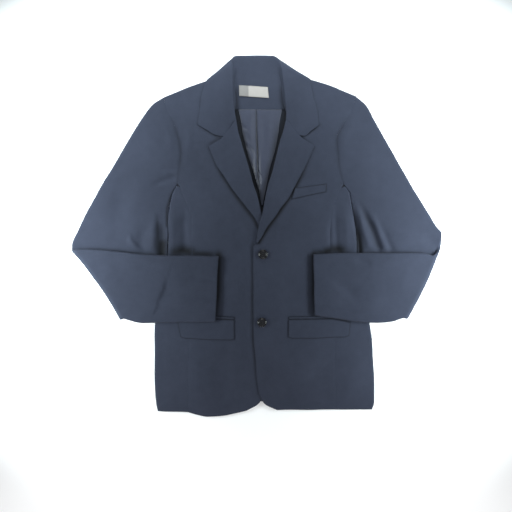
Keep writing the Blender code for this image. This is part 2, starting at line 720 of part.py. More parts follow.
def make_button(name, place, base, material):
    """Turn a button with a raised rim, and cut its four thread holes."""
    radius = BUTTON_DIAMETER / 2
    profile = [(0.0, 0.0), (radius * 0.72, 0.0), (radius * 0.95, 0.9), (radius, 2.0),
               (radius * 0.94, 3.4), (radius * 0.84, BUTTON_HEIGHT), (radius * 0.72, 3.5),
               (radius * 0.60, 2.7), (0.0, 2.5)]
    turns = 28
    vertices = [(place[0], place[1], base)]
    for reach, height in profile[1:-1]:
        for step in range(turns):
            angle = 2.0 * math.pi * step / turns
            x = place[0] + reach * math.cos(angle)
            y = place[1] + reach * math.sin(angle)
            vertices.append((x, y, base + height))
    vertices.append((place[0], place[1], base + profile[-1][1]))
    faces = []
    rings = len(profile) - 2
    for step in range(turns):
        after = (step + 1) % turns
        faces.append((0, 1 + after, 1 + step))
        for ring in range(rings - 1):
            low = 1 + ring * turns
            faces.append((low + step, low + after, low + turns + after, low + turns + step))
        last = 1 + (rings - 1) * turns
        faces.append((last + step, last + after, len(vertices) - 1))
    button = add_object(name, vertices, faces, material)
    for number, (way_x, way_y) in enumerate(((1, 1), (-1, 1), (-1, -1), (1, -1))):
        bpy.ops.mesh.primitive_cylinder_add(vertices=10, radius=BUTTON_HOLE / 2 * MM,
                                            depth=3 * BUTTON_HEIGHT * MM)
        cutter = bpy.context.object
        cutter.name = f"{name}_hole_{number}"
        half = BUTTON_HOLE_SPREAD / 2
        cutter.location = ((place[0] + way_x * half) * MM, (place[1] + way_y * half) * MM, base * MM)
        cutter.hide_render = True
        cutter.display_type = "WIRE"
        cut = button.modifiers.new(f"hole_{number}", "BOOLEAN")
        cut.operation = "DIFFERENCE"
        cut.object = cutter


def main():
    """Build the blazer."""
    for thing in list(bpy.data.objects):
        bpy.data.objects.remove(thing)
    materials = {name: make_material(name) for name in MATERIALS}
    shell = materials["shell"]

    wall("back", back_sheet(), SHELL, shell)
    right_front = front_sheet(FRONT_RIGHT_ROWS, LAPEL_RIGHT_ROWS, FRONT_RIGHT_SHOULDER, HEM_RIGHT,
                              front_right_z, -1)
    left_front = front_sheet(FRONT_LEFT_ROWS, LAPEL_LEFT_ROWS, FRONT_LEFT_SHOULDER, None,
                             front_left_z, 1)
    wall("front_right", right_front, SHELL, shell)
    wall("front_left", left_front, SHELL, shell)
    wall("side_right", side_sheet(FRONT_RIGHT_ROWS, SIDE_RIGHT_ROWS, 1), SHELL, shell)
    wall("side_left", side_sheet(FRONT_LEFT_ROWS, SIDE_LEFT_ROWS, -1), SHELL, shell)
    wall("lapel_right", lapel_sheet(LAPEL_RIGHT_ROWS, NOTCH_RIGHT, front_right_z, 1), SHELL, shell)
    wall("lapel_left", lapel_sheet(LAPEL_LEFT_ROWS, NOTCH_LEFT, front_left_z, -1), SHELL, shell)
    wall("collar", collar_sheet(), SHELL, shell)

    facing = [at_height(spread([(start, y), (end, y)], 9), facing_z) for y, start, end in FACING_ROWS]
    wall("back_neck_facing", facing, FACING, shell)
    wall("lining_back", lining_sheet(), LINING, materials["lining"])

    def label_z(x, y):
        return facing_z(x, y) + FACING / 2 + CURVED_LAYER + LINING / 2

    wall("label", four_corner_sheet(LABEL_CORNERS, 5, 4, label_z), LINING, materials["label"])

    def on_left(x, y):
        return front_left_z(x, y) + ON_FRONT

    def on_right(x, y):
        return front_right_z(x, y) + ON_FRONT

    wall("breast_welt", four_corner_sheet(WELT_CORNERS, 6, 3, on_left), SHELL, shell)
    wall("flap_left", flap_sheet(FLAP_LEFT_TOP, FLAP_LEFT_BOTTOM, on_left), SHELL, shell)
    wall("flap_right", flap_sheet(FLAP_RIGHT_TOP, FLAP_RIGHT_BOTTOM, on_right), SHELL, shell)
    wall("jet_left", jet_sheet(FLAP_LEFT_TOP, on_left), SHELL, shell)
    wall("jet_right", jet_sheet(FLAP_RIGHT_TOP, on_right), SHELL, shell)

    right = Sleeve(FRONT_RIGHT_ROWS, SIDE_RIGHT_ROWS, SLEEVE_RIGHT_UPPER, SLEEVE_RIGHT_ELBOW,
                   SLEEVE_RIGHT_FOREARM, -1)
    left = Sleeve(FRONT_LEFT_ROWS, SIDE_LEFT_ROWS, SLEEVE_LEFT_UPPER, SLEEVE_LEFT_ELBOW,
                  SLEEVE_LEFT_FOREARM, 1)
    for name, sleeve in (("sleeve_right", right), ("sleeve_left", left)):
        wall(f"{name}_top", sleeve.top_sheet(), SHELL, shell, sleeve.fold)
        wall(f"{name}_under", sleeve.under_sheet(), SHELL, shell, sleeve.fold)

    for name, (x, y) in BUTTON_PLACES.items():
        base = float(front_left_z(np.array(x), np.array(y))) + SHELL / 2 + LAYER
        make_button(name, (x, y), base, materials["button"])


main()
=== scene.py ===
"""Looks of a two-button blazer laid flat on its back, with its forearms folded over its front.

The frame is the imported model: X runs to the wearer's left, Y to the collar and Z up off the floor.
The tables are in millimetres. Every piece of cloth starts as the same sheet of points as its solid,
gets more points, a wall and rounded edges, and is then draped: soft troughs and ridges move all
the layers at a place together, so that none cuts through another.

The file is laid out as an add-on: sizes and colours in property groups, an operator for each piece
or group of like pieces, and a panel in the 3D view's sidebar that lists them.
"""

import math

import bmesh
import bpy
import numpy as np
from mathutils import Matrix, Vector


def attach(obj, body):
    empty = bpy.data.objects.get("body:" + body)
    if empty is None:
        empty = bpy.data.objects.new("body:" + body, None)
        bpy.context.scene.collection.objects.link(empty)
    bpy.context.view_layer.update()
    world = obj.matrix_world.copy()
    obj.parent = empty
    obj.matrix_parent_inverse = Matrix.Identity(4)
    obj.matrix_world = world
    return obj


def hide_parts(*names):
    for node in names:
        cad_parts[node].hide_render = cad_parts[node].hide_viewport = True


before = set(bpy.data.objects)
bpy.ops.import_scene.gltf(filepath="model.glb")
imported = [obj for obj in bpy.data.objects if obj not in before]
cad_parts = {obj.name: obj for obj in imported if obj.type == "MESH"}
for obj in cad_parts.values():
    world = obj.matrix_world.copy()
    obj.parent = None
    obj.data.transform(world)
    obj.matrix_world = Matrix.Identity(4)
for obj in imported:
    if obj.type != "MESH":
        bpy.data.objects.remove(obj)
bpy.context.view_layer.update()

bl_info = {
    "name": "Laid blazer",
    "version": (1, 0, 0),
    "blender": (4, 5, 0),
    "location": "View3D > Sidebar > Blazer",
    "description": "Makes a blazer laid flat with its forearms folded over it, and its stage",
    "category": "Object",
}

MM = 0.001                      # one millimetre in metres
UP = (0.0, 0.0, 1.0)

# Cloth walls and seams
SHELL = 1.4                     # wall of the wool shell
LINING = 1.0                    # wall of the lining and the label
FACING = 1.2                    # wall of the facing inside the back neck
SEAM = 0.35                     # gap left between two pieces along a seam
LAYER = 0.3                     # gap left between two layers that lie on each other
CURVED_LAYER = 0.45             # the same where both layers curve

# Heights of the middle of each layer
BACK_Z = SHELL / 2
FRONT_Z = 5.5
ON_FRONT = SHELL + LAYER        # from the middle of a front to the middle of what lies on it
BACK_LIFT = 2.2                 # the back rides on the collar's fall by this much
LIFT_X, LIFT_HALF, LIFT_SLOPE_X = 5.0, 125.0, 30.0      # middle, half width, and its slopes
LIFT_Y, LIFT_SLOPE_Y = 265.0, 48.0                      # where it starts, and its slope
LAP_X, LAP_SLOPE_X = 36.0, 45.0         # the left front slopes down from its lap here
LAP_Y, LAP_SLOPE_Y = 62.0, 60.0         # and here
OVER_LAPEL_Y, OVER_LAPEL_SLOPE = -60.0, 44.0    # from here up it laps over the lapel too
ON_BACK = SHELL / 2 + CURVED_LAYER      # from the middle of the back to the facing's underside
ARM_Z = 6.5                     # upper side of the flattened upper arm

# Folds
LAPEL_ROLL = 1.7                # radius of the lapel's fold, at mid wall
FRONT_INSET = 2.7               # a front's edge lies this far inside the lapel's fold
SHOULDER_ROLL = 1.5             # radius that a front turns down to the back with at the shoulder
GORGE_GAP = 0.5                 # gap between the collar's ends and the lapels
LAPEL_RETURN = 2.5              # how far the facing turns under the front
ELBOW_Z = 7.8                   # height of the line that each sleeve is folded about
ELBOW_LENGTH = 13.0             # length of sleeve taken up by the elbow's fold
SLEEVE_FRONT_SEAM = 18.0        # the top sleeve wraps this far under at its inner edge
SLEEVE_BACK_SEAM = 9.0          # and this far under at its outer edge
SLEEVE_SEAM = 0.8               # gap along the sleeve's two seams
ELBOW_INSET = 1.5               # the elbow's ends lie this far inside the sleeve's edges

# Buttons
BUTTON_DIAMETER = 20.0
BUTTON_HEIGHT = 4.0
BUTTON_HOLE = 1.8
BUTTON_HOLE_SPREAD = 3.4
# The dish's steps: how far in and how far down, as shares of the radius and of the height
BUTTON_STEPS = ((0.06, 0.0), (0.05, 0.14), (0.08, 0.16), (0.10, 0.04))
THREAD_LEVEL = 0.68             # middle of the thread, as a share of the button's height
THREAD_FLATTENING = 0.45        # its height, as a share of a round loop's
BUTTON_PLACES = {"button_upper": (14.7, -38.5), "button_lower": (12.6, -181.4)}

# The fronts, a row from the outer edge (armhole, then side-panel seam) to the inner edge
# (neck, roll line, front edge). Columns: outer x, outer y, inner x, inner y. None stands for the
# roll line, which the lapel's table gives.
FRONT_RIGHT_ROWS = [
    (-194, 292, -63, 337), (-190, 277, -55, 306), (-188, 265, -51, 275), (-171, 233, None, 244),
    (-162, 204, None, 220), (-158, 174, None, 195), (-161, 143, None, 168), (-165, 111, None, 133),
    (-160, 103, None, 107), (-155.5, 91, None, 84), (-149, 76, None, 57), (-143, 61, None, 43),
    (-132, 29, None, 29), (-131, 5, None, 7), (-131, -14, 22, -13.5), (-132, -30, 29, -27),
    (-133.5, -75, 29, -75), (-136, -124, 29, -124), (-140.5, -208, 29, -208),
    (-142.5, -281, 28, -278), (-143, -330, 19, -328), (-143, -350, 6, -352),
    (-143, -371, -20, -367),
]
FRONT_LEFT_ROWS = [
    (211, 293, 74, 338.5), (205, 277, 69, 306), (201, 263, 69.5, 275), (185, 238, None, 244),
    (170, 204, None, 220), (172, 174, None, 197), (175, 143, None, 168), (183, 109, None, 134),
    (179, 101, None, 103), (174, 91, None, 87), (168, 76, None, 71), (163, 61, None, 50),
    (158, 29, None, 27), (156, 5, None, 4), (156, -14, 3, -15.5), (156.3, -30, -5.8, -21),
    (159, -75, -6, -75), (161, -124, -6, -124), (165, -208, -5, -208), (167, -281, 0, -275),
    (168, -330, 6, -328), (168, -348, 18, -352), (168, -364, 44, -365.5),
]
ARMHOLE_ROWS = 8                # the rows above that end on the armhole, before the side seam
ARMHOLE_END_Y = 20.0            # under the arm, the hole goes on along the side down to here
ARMHOLE_EASE = 0.2              # and its lowest point is drawn in by this much
FRONT_RIGHT_SHOULDER = [(-194, 292), (-132, 316.5), (-104, 326.5), (-63, 337)]
FRONT_LEFT_SHOULDER = [(211, 293), (158, 316), (118, 328), (74, 338.5)]
HEM_RIGHT = [(-143, -371), (-130, -375), (-95, -380), (-62, -376.5), (-20, -367)]
FRONT_COLUMNS = {-1: 8, 1: 11}  # points across the right front and the left front
ROW_EASE = 1.25                 # they are drawn towards the front edge

# The side panels, a row for each seam row of the front beside them. Columns: fold x, fold y,
# back seam x, back seam y.
SIDE_RIGHT_ROWS = [
    (-167, 107, -159.5, 101), (-175, 93, -154, 90), (-180, 77, -151, 76), (-182, 63, -152, 61),
    (-187, 29, -157, 29), (-186, 5, -157, 5), (-185, -14, -156, -14), (-185.5, -30, -157, -30),
    (-192, -75, -163, -75), (-202, -124, -173, -124), (-213.5, -208, -183, -208),
    (-213.5, -281, -183, -281), (-212, -330, -181, -330), (-210.5, -350, -179, -348),
    (-207, -368, -176, -362),
]
SIDE_LEFT_ROWS = [
    (186, 105, 178, 101), (195, 94, 174, 90), (199, 80, 172, 76), (202, 63, 174, 61),
    (209, 29, 180, 29), (212, 5, 183, 5), (213, -14, 184, -14), (212.5, -30, 183, -30),
    (218.5, -75, 190, -75), (228, -124, 199, -124), (242.5, -208, 212, -208),
    (247.5, -281, 217, -281), (249, -330, 219, -330), (248.5, -348, 218, -348),
    (243.5, -364, 212, -362),
]
BACK_TOP = [(-194, 292), (-132, 316.5), (-104, 326.5), (-63, 337), (-34, 346), (0, 349),
            (40, 346), (74, 338.5), (118, 328), (158, 316), (211, 293)]
BACK_HEM_RISE = 34.0            # the back's hem rises by this much at the middle
HEM_MIDDLE, HEM_WIDTH = 12.0, 60.0      # x of that rise's middle, and its width
BACK_LEVEL_Y = 204              # from here down the back's rows are level
BACK_ROW_PLACES = [0, 1, 1.5, 2, 2.33, 2.67, 3, 4, 5, 6, 7]  # by the armhole's points
BACK_COLUMNS = 12

# The lapels, a row from the roll line to the outer edge. Columns: roll x, roll y, edge x,
# edge y, curl of the fold in degrees.
LAPEL_RIGHT_ROWS = [
    (-41, 244, -100, 187, 180), (-37, 220, -93.5, 170, 180), (-30, 195, -84, 149, 180),
    (-22, 168, -70, 129, 180), (-12, 133, -54, 104, 180), (-5.5, 107, -36, 80, 180),
    (3, 84, -20, 60, 180), (10, 57, -3, 38, 180), (16, 29, 8, 17, 180), (21, 7, 17.5, 0, 180),
    (24, -8, 23, -11.5, 180),
]
LAPEL_LEFT_ROWS = [
    (62, 244, 123, 188, 180), (57, 220, 115.5, 170, 180), (50, 197, 106, 150, 180),
    (42, 168, 93, 126, 180), (34, 134, 80, 101, 180), (24, 103, 67, 77, 180),
    (21, 87, 59.5, 68, 150), (18, 71, 52, 59, 110), (14, 50, 40, 40, 90), (7, 27, 24, 18, 90),
    (3, 4, 14, 0, 90), (0, -13, 2.5, -16.5, 90),
]
NOTCH_RIGHT = (-72, 205)        # where collar and lapel part
NOTCH_LEFT = (95, 207)

# The collar, a row for each station from the right notch round the neck to the left notch.
# Columns: fold x, y, z (its centre), fold radius, reach of the stand from there to the neck seam,
# height of the neck seam, outer edge x, y, z, roll of the fall (0 on top, 180 beneath), dip of
# the notch.
COLLAR_ROWS = [
    (-43.4, 244, 5.5, 1.7, -2.5, 3.8, -124, 235, 7.2, 0, 35.7),
    (-47.0, 262, 6.4, 1.7, 1.7, 2.7, -123, 248, 7.2, 0, 21),
    (-49.0, 282, 7.8, 1.7, 5.5, 3.1, -119.5, 266, 7.2, 0, 9),
    (-50.0, 302, 8.9, 1.7, 6.0, 4.2, -117.5, 286, 7.2, 0, 2),
    (-50.0, 322, 9.2, 1.8, 6.0, 4.65, -114, 303, 7.3, 0, 0),
    (-50.0, 342, 8.4, 2.1, 8.0, 4.65, -110, 316, 7.4, 12, 0),
    (-49.5, 358, 7.0, 2.4, 12.0, 4.65, -105, 325, 6.8, 40, 0),
    (-50.0, 367.0, 5.4, 2.6, 20.0, 4.65, -101.5, 329.0, 4.2, 90, 0),
    (-46.5, 373.5, 4.2, 2.75, 28.5, 4.65, -98.5, 327.5, 1.8, 130, 0),
    (-40.5, 375.8, 3.6, 2.78, 34.0, 4.65, -97, 321, 0.8, 165, 0),
    (-24.0, 376.0, 3.48, 2.78, 37.0, 4.65, -60, 319, 0.7, 180, 0),
    (2.0, 376.0, 3.48, 2.78, 38.0, 4.65, 2, 326, 0.7, 180, 0),
    (22.0, 376.2, 3.48, 2.78, 37.0, 4.65, 62, 320, 0.7, 180, 0),
    (34.5, 376.2, 3.6, 2.78, 33.0, 4.65, 98, 322, 0.8, 165, 0),
    (42.5, 373.5, 4.2, 2.75, 26.0, 4.65, 105.5, 331.0, 1.7, 130, 0),
    (49.0, 366.0, 5.4, 2.6, 18.5, 4.65, 109, 332.0, 4.2, 90, 0),
    (53.0, 354, 7.0, 2.4, 11.5, 4.65, 114.5, 328.5, 6.8, 40, 0),
    (56.5, 338, 8.4, 2.1, 7.5, 4.65, 117, 316, 7.4, 12, 0),
    (59.0, 320, 9.2, 1.8, 6.0, 4.65, 120, 303, 7.3, 0, 0),
    (61.5, 300, 8.9, 1.7, 6.0, 4.2, 122, 291, 7.2, 0, 2),
    (63.0, 281, 7.8, 1.7, 5.5, 3.1, 127, 275, 7.2, 0, 9),
    (65.0, 262, 6.4, 1.7, 1.7, 2.7, 131, 253, 7.2, 0, 23),
    (64.4, 244, 5.5, 1.7, -2.5, 3.8, 132.5, 233, 7.2, 0, 34.4),
]
NOTCH_PLACE = {-1: 0.37, 1: 0.44}   # how far along the fall the notch's dip is deepest

# At the neck's back corners the stand leads to these points of the seam, by the station's number.
SEAM_AIMS = {6: (-41.6, 344.5), 7: (-40.5, 344.0), 8: (-38.5, 342.5), 9: (-34.5, 340.5),
             13: (33.0, 340.5), 14: (39.5, 341.0), 15: (44.0, 341.5), 16: (47.0, 340.5)}

# Inside the neck. Columns: y, left end x, right end x.
FACING_LEVELS = [350, 343, 336, 330, 322, 312, 302, 292, 281, 266.4]
FACING_TOP = (-42.5, 47.5)      # its ends where it runs up under the collar's stand
FACING_TUCK_Y, FACING_TUCK_SLOPE = 343.0, 12.0      # it runs under the stand from here up
FACING_REACH = 1.2              # its sides reach this far under the collar's seam
FACING_COLUMNS = 11
LINING_ROWS = [
    (265.9, -37.5, 55), (240, -31.5, 49.5), (215, -28, 47.5), (190, -22, 43), (165, -15.5, 36),
    (140, -7.5, 29.5), (115, 0, 24), (90, 7, 19.5), (65, 12, 15),
]
PLEAT = [(262, -1), (172, 2), (118, 4)]     # y and x of the centre-back pleat's edge
PLEAT_WIDTH = 13.0
PLEAT_HEIGHT = 2.0
PLEAT_END_Y, PLEAT_FADE = 100.0, 35.0   # it runs out here, over this length
LINING_PLAIN_Y = 120.0          # below this the lining's points aren't gathered at the pleat
LABEL_CORNERS = [(-35.5, 316.5), (25, 313), (27.5, 290), (-35.5, 294)]

# Sleeves as they lie. Columns: outer x, outer y, inner x, inner y; the forearm's outer edge is
# its upper one. An upper arm's fifth column is its share of the armhole's curve, and an elbow's is
# how far its fold is drawn in at the outer end, and a sixth how far the fold bows outwards.
SLEEVE_RIGHT_UPPER = [
    (-217, 277, -186.7, 20, 0.9), (-238, 250, -186.0, 4, 0.62), (-290, 164, -185.4, -42, 0.25),
    (-340, 79, -230, -86, 0), (-376, 8, -257, -145, 0),
]
SLEEVE_RIGHT_ELBOW = (-394, -23, -283.5, -178.5, 12, -5.5)
SLEEVE_RIGHT_FOREARM = [
    (-330, -29, -254, -180.5), (-250, -37, -195, -181), (-160, -41, -135, -181),
    (-78.5, -41.5, -85, -180),
]
SLEEVE_LEFT_UPPER = [
    (232, 273.5, 210.3, 18, 0.9), (247, 246, 212.1, 4, 0.62), (292.5, 166, 213.5, -42, 0.25),
    (339, 85, 255, -104, 0), (379.5, 21, 290, -150, 0),
]
SLEEVE_LEFT_ELBOW = (398, 3, 317.5, -177, 46, 5)
SLEEVE_LEFT_FOREARM = [
    (352, -36.5, 284, -180), (290, -36, 220, -181), (200, -36, 168, -173), (120, -38, 122, -167),
]

# Pockets
WELT_CORNERS = [(82, 101), (148.5, 110.5), (148.5, 92), (74, 77)]
FLAP_LEFT_TOP = [(69, -175.5), (122, -174.5), (155, -173), (183, -177), (199, -182)]
FLAP_LEFT_BOTTOM = [(67, -216), (196, -213)]
FLAP_RIGHT_TOP = [(-166, -177), (-120, -174), (-80, -174), (-45, -176)]
FLAP_RIGHT_BOTTOM = [(-158, -215), (-45, -220)]
JET_WIDTH = 5.5
FLAP_CORNER = 3.2
FLAP_COLUMNS = 13

# Finish of the cloth's meshes
RIM_STEPS = (0.3, 0.9)          # rows of points this far inside every edge
LEAST_STEP = 0.12               # rows of points closer than this are left out
RIM_WIDTH = 0.9                 # an edge is rounded over this width
RIM_SHARE = 0.35                # and keeps this share of the wall at its rim
EDGE_SHADE_WIDTH = 1.5                # shade is painted along edges over about this width
SEAM_WIDTH = 2.6                # the cloth dips into a seam over about this width
SIDES = {"start": (np.s_[0], np.s_[1]), "end": (np.s_[-1], np.s_[-2]),
         "near": (np.s_[:, 0], np.s_[:, 1]), "far": (np.s_[:, -1], np.s_[:, -2])}
FLOOR_LAYER_TOP = 1.4           # what lies below this doesn't move
FOREARM_LOW = 9.0               # a forearm's creases start at this height
FOREARM_HIGH = 13.5             # and are whole from here up
FOREARM_Y = (-198.0, -36.0)     # the forearms lie between these heights on the body
CUFF_X = (-80.0, 104.0)         # and outside their cuffs, where the body isn't raised
COVER_SLOPE_X, COVER_SLOPE_Y = 14.0, 16.0
BODY_TOP, BODY_TOP_SLOPE = 6.0, 3.0     # the body's creases fade this far above the fronts
UPPER_ARM_TOP = 8.7             # a sleeve's painted shadows are below this
PAINTED_SHADE_DARKEST = 0.16                  # the darkest painted shade's share of the cloth's dark colour
CREASE_FADE = 0.4               # a crease grows and fades over this share of its length

# Soft unevenness: how high, how wide and the seed of the random draws
WAVES = 9                       # number of waves in each
BODY_WAVES = ((0.5, 110.0, 3), (0.16, 34.0, 5))
FOREARM_WAVES = ((0.5, 90.0, 8), (0.2, 32.0, 9))
PLAN_WAVES = (0.6, 80.0, 12)    # in plan, for x, and the next seed for y

# Finish of each slot's cloth: material, roughness, ribs a metre, their slant and height in
# metres, sheen, specular level and how brushed it is
CLOTHS = {
    "shell": ("Wool twill", 0.86, 850.0, 1.0, 0.00025, 0.03, 0.22, 0.0),
    "lining": ("Lining satin", 0.5, 2400.0, 0.4, 0.00008, 0.0, 0.5, 0.4),
    "label": ("Label weave", 0.7, 1600.0, 0.0, 0.00012, 0.0, 0.22, 0.0),
}
COOL = (0.88, 0.98, 1.0)        # colour of the side lights and the top light
CLOTH_LEVEL = 0.006             # height of the cloth that the camera's frame is measured at

CUT_CELL = 3.5                  # a sheet's flat cut is measured in steps of this size
LEAST_CUT = 0.010               # the least width or length that a flat cut is given, in metres

# Creases. Columns: height (below 0 for a trough), width to the left and to the right of the way
# along it, strength at its start and at its end, and the points that it runs through.
BODY_CREASES = [
    # wearer's right side: flank, chest, beside the front edge, skirt, beside the armhole
    (-3.0, 9, 9, 0.2, 1.0, [(-149, 62), (-150, 25), (-149, -28)]),
    (1.8, 8, 8, 0.2, 0.8, [(-174, 60), (-176, 20), (-174, -28)]),
    (-0.8, 3, 3, 0.3, 0.3, [(-136, 45), (-135, 10), (-136, -18)]),
    (1.4, 26, 26, 0.2, 0.6, [(-100, 120), (-88, 60), (-84, -25)]),
    (-2.0, 14, 12, 0.3, 0.6, [(-42, 52), (-33, 18), (-24, -18)]),
    (-1.3, 7, 10, 0.6, 0.6, [(-17, -10), (-16, -120), (-15, -230), (-8, -300)]),
    (-3.0, 14, 22, 0.2, 0.8, [(-56, -210), (-62, -270), (-68, -350)]),
    (1.2, 20, 20, 0.2, 0.8, [(-118, -215), (-125, -280), (-120, -350)]),
    (1.3, 8, 7, 0.2, 0.2, [(-152, 245), (-138, 212), (-147, 165)]),
    # wearer's left side: seam, deep folds under the arm, drags under the flap, skirt, waist
    (-2.6, 7, 6, 0.2, 1.0, [(168, 60), (166, 20), (170, -26)]),
    (-1.8, 4, 4, 0.2, 0.6, [(157, 40), (155, 10), (156, -20)]),
    (1.6, 8, 8, 0.2, 0.6, [(186, 62), (190, 20), (192, -26)]),
    (-3.6, 5, 5, 0.2, 1.0, [(199, 62), (207, 30), (214, 0), (217, -34)]),
    (3.2, 7, 6, 0.3, 0.8, [(210, 66), (220, 35), (228, 5), (236, -20)]),
    (-3.6, 6, 7, 0.2, 1.0, [(216, 68), (230, 44), (243, 17), (252, -10), (258, -26)]),
    (2.6, 6, 6, 0.2, 1.0, [(240, 50), (254, 20), (264, -5), (271, -24)]),
    (-2.0, 7, 9, 0.2, 1.0, [(262, 20), (276, -8), (284, -28)]),
    (-0.9, 4, 8, 0.1, 0.2, [(135, -285), (150, -268), (166, -252)]),
    (-1.5, 16, 18, 0.1, 0.3, [(95, -320), (125, -292), (160, -262)]),
    (-2.8, 26, 28, 0.2, 0.4, [(22, -225), (38, -270), (45, -330)]),
    (-1.8, 20, 22, 0.2, 0.2, [(62, -60), (68, -105), (60, -150)]),
    (1.4, 22, 22, 0.2, 0.6, [(190, -230), (200, -290), (195, -345)]),
    # the lapels' rolls stand a little higher than their edges
    (1.6, 12, 12, 0.4, 0.3, [(-34, 238), (-16, 170), (0, 100), (12, 50)]),
    (1.8, 12, 12, 0.4, 0.3, [(58, 240), (46, 180), (34, 120), (22, 70), (10, 20)]),
    # right upper sleeve: at the armhole, above the forearm, down its length, the sleeve head
    (-1.8, 5, 3, 0.2, 0.8, [(-200, 146), (-185, 140), (-171, 137)]),
    (1.2, 5, 5, 0.2, 0.8, [(-198, 135), (-184, 131), (-172, 131)]),
    (-2.2, 6, 6, 0.1, 0.8, [(-222, 105), (-200, 113), (-186, 117), (-174, 121)]),
    (2.2, 4, 6, 0.2, 0.8, [(-266, 5), (-262, -10), (-252, -22), (-243, -28)]),
    (-3.6, 7, 8, 0.1, 1.0, [(-199, 36), (-198, 5), (-197, -36)]),
    (2.4, 6, 8, 0.2, 0.6, [(-214, 40), (-216, 10), (-216, -26)]),
    (-2.4, 10, 10, 0.2, 1.0, [(-236, 20), (-240, 0), (-242, -28)]),
    (-1.2, 18, 18, 0.2, 0.4, [(-270, 120), (-290, 60), (-300, 5)]),
    (1.0, 22, 22, 0.2, 0.4, [(-235, 140), (-245, 80), (-262, 30)]),
    (1.6, 12, 9, 0.2, 0.2, [(-205, 262), (-188, 228), (-178, 200), (-173, 172)]),
    # left upper sleeve: the sleeve head, its length, above the elbow
    (1.6, 9, 12, 0.2, 0.2, [(213, 262), (198, 235), (184, 204), (185, 174)]),
    (-0.8, 12, 12, 0.2, 0.2, [(262, 165), (255, 130), (262, 95)]),
    (-2.2, 14, 14, 0.2, 0.6, [(345, 2), (368, -8), (382, -24)]),
    (-1.6, 10, 10, 0.4, 0.2, [(290, -28), (330, -24), (368, -18)]),
]
FOREARM_CREASES = [
    # right forearm
    (-3.0, 30, 4, 0.3, 0.6, [(-184, -88), (-189, -112), (-203, -141)]),
    (1.4, 6, 10, 0.3, 0.5, [(-203, -143), (-170, -137), (-135, -136), (-88, -141)]),
    (-1.7, 8, 8, 0.1, 0.8, [(-150, -82), (-115, -86), (-82, -92)]),
    (-0.9, 9, 9, 0.1, 0.3, [(-262, -58), (-230, -64), (-195, -68)]),
    (1.2, 20, 20, 0.2, 0.2, [(-320, -60), (-300, -90), (-280, -120)]),
    # left forearm
    (-2.6, 14, 10, 0.2, 0.2, [(156, -92), (185, -110), (224, -138)]),
    (-1.8, 9, 8, 0.2, 0.2, [(204, -46), (225, -54), (248, -60)]),
    (-1.1, 22, 22, 0.3, 0.3, [(128, -55), (150, -80), (175, -100)]),
    (1.2, 20, 20, 0.2, 0.2, [(330, -60), (310, -90), (290, -120)]),
]
LINING_CREASES = [
    (1.5, 5, 2.5, 0.0, 0.8, [(-2, 190), (-1, 150), (1, 110)]),
    (1.5, 2.5, 5, 0.0, 0.8, [(6, 190), (6, 150), (8, 110)]),
    (-0.9, 3, 4, 0.3, 0.3, [(-31, 234), (-24, 229), (-16, 221)]),
    (-0.9, 3, 3, 0.3, 0.6, [(-27, 197), (-14, 184), (-2, 169)]),
    (0.9, 5, 4, 0.2, 0.4, [(-24, 204), (-12, 192), (-4, 178)]),
    (-0.5, 4, 4, 0.3, 0.1, [(12, 262), (15, 225), (17, 190)]),
    (0.6, 6, 6, 0.3, 0.1, [(28, 262), (27, 220), (22, 170)]),
]
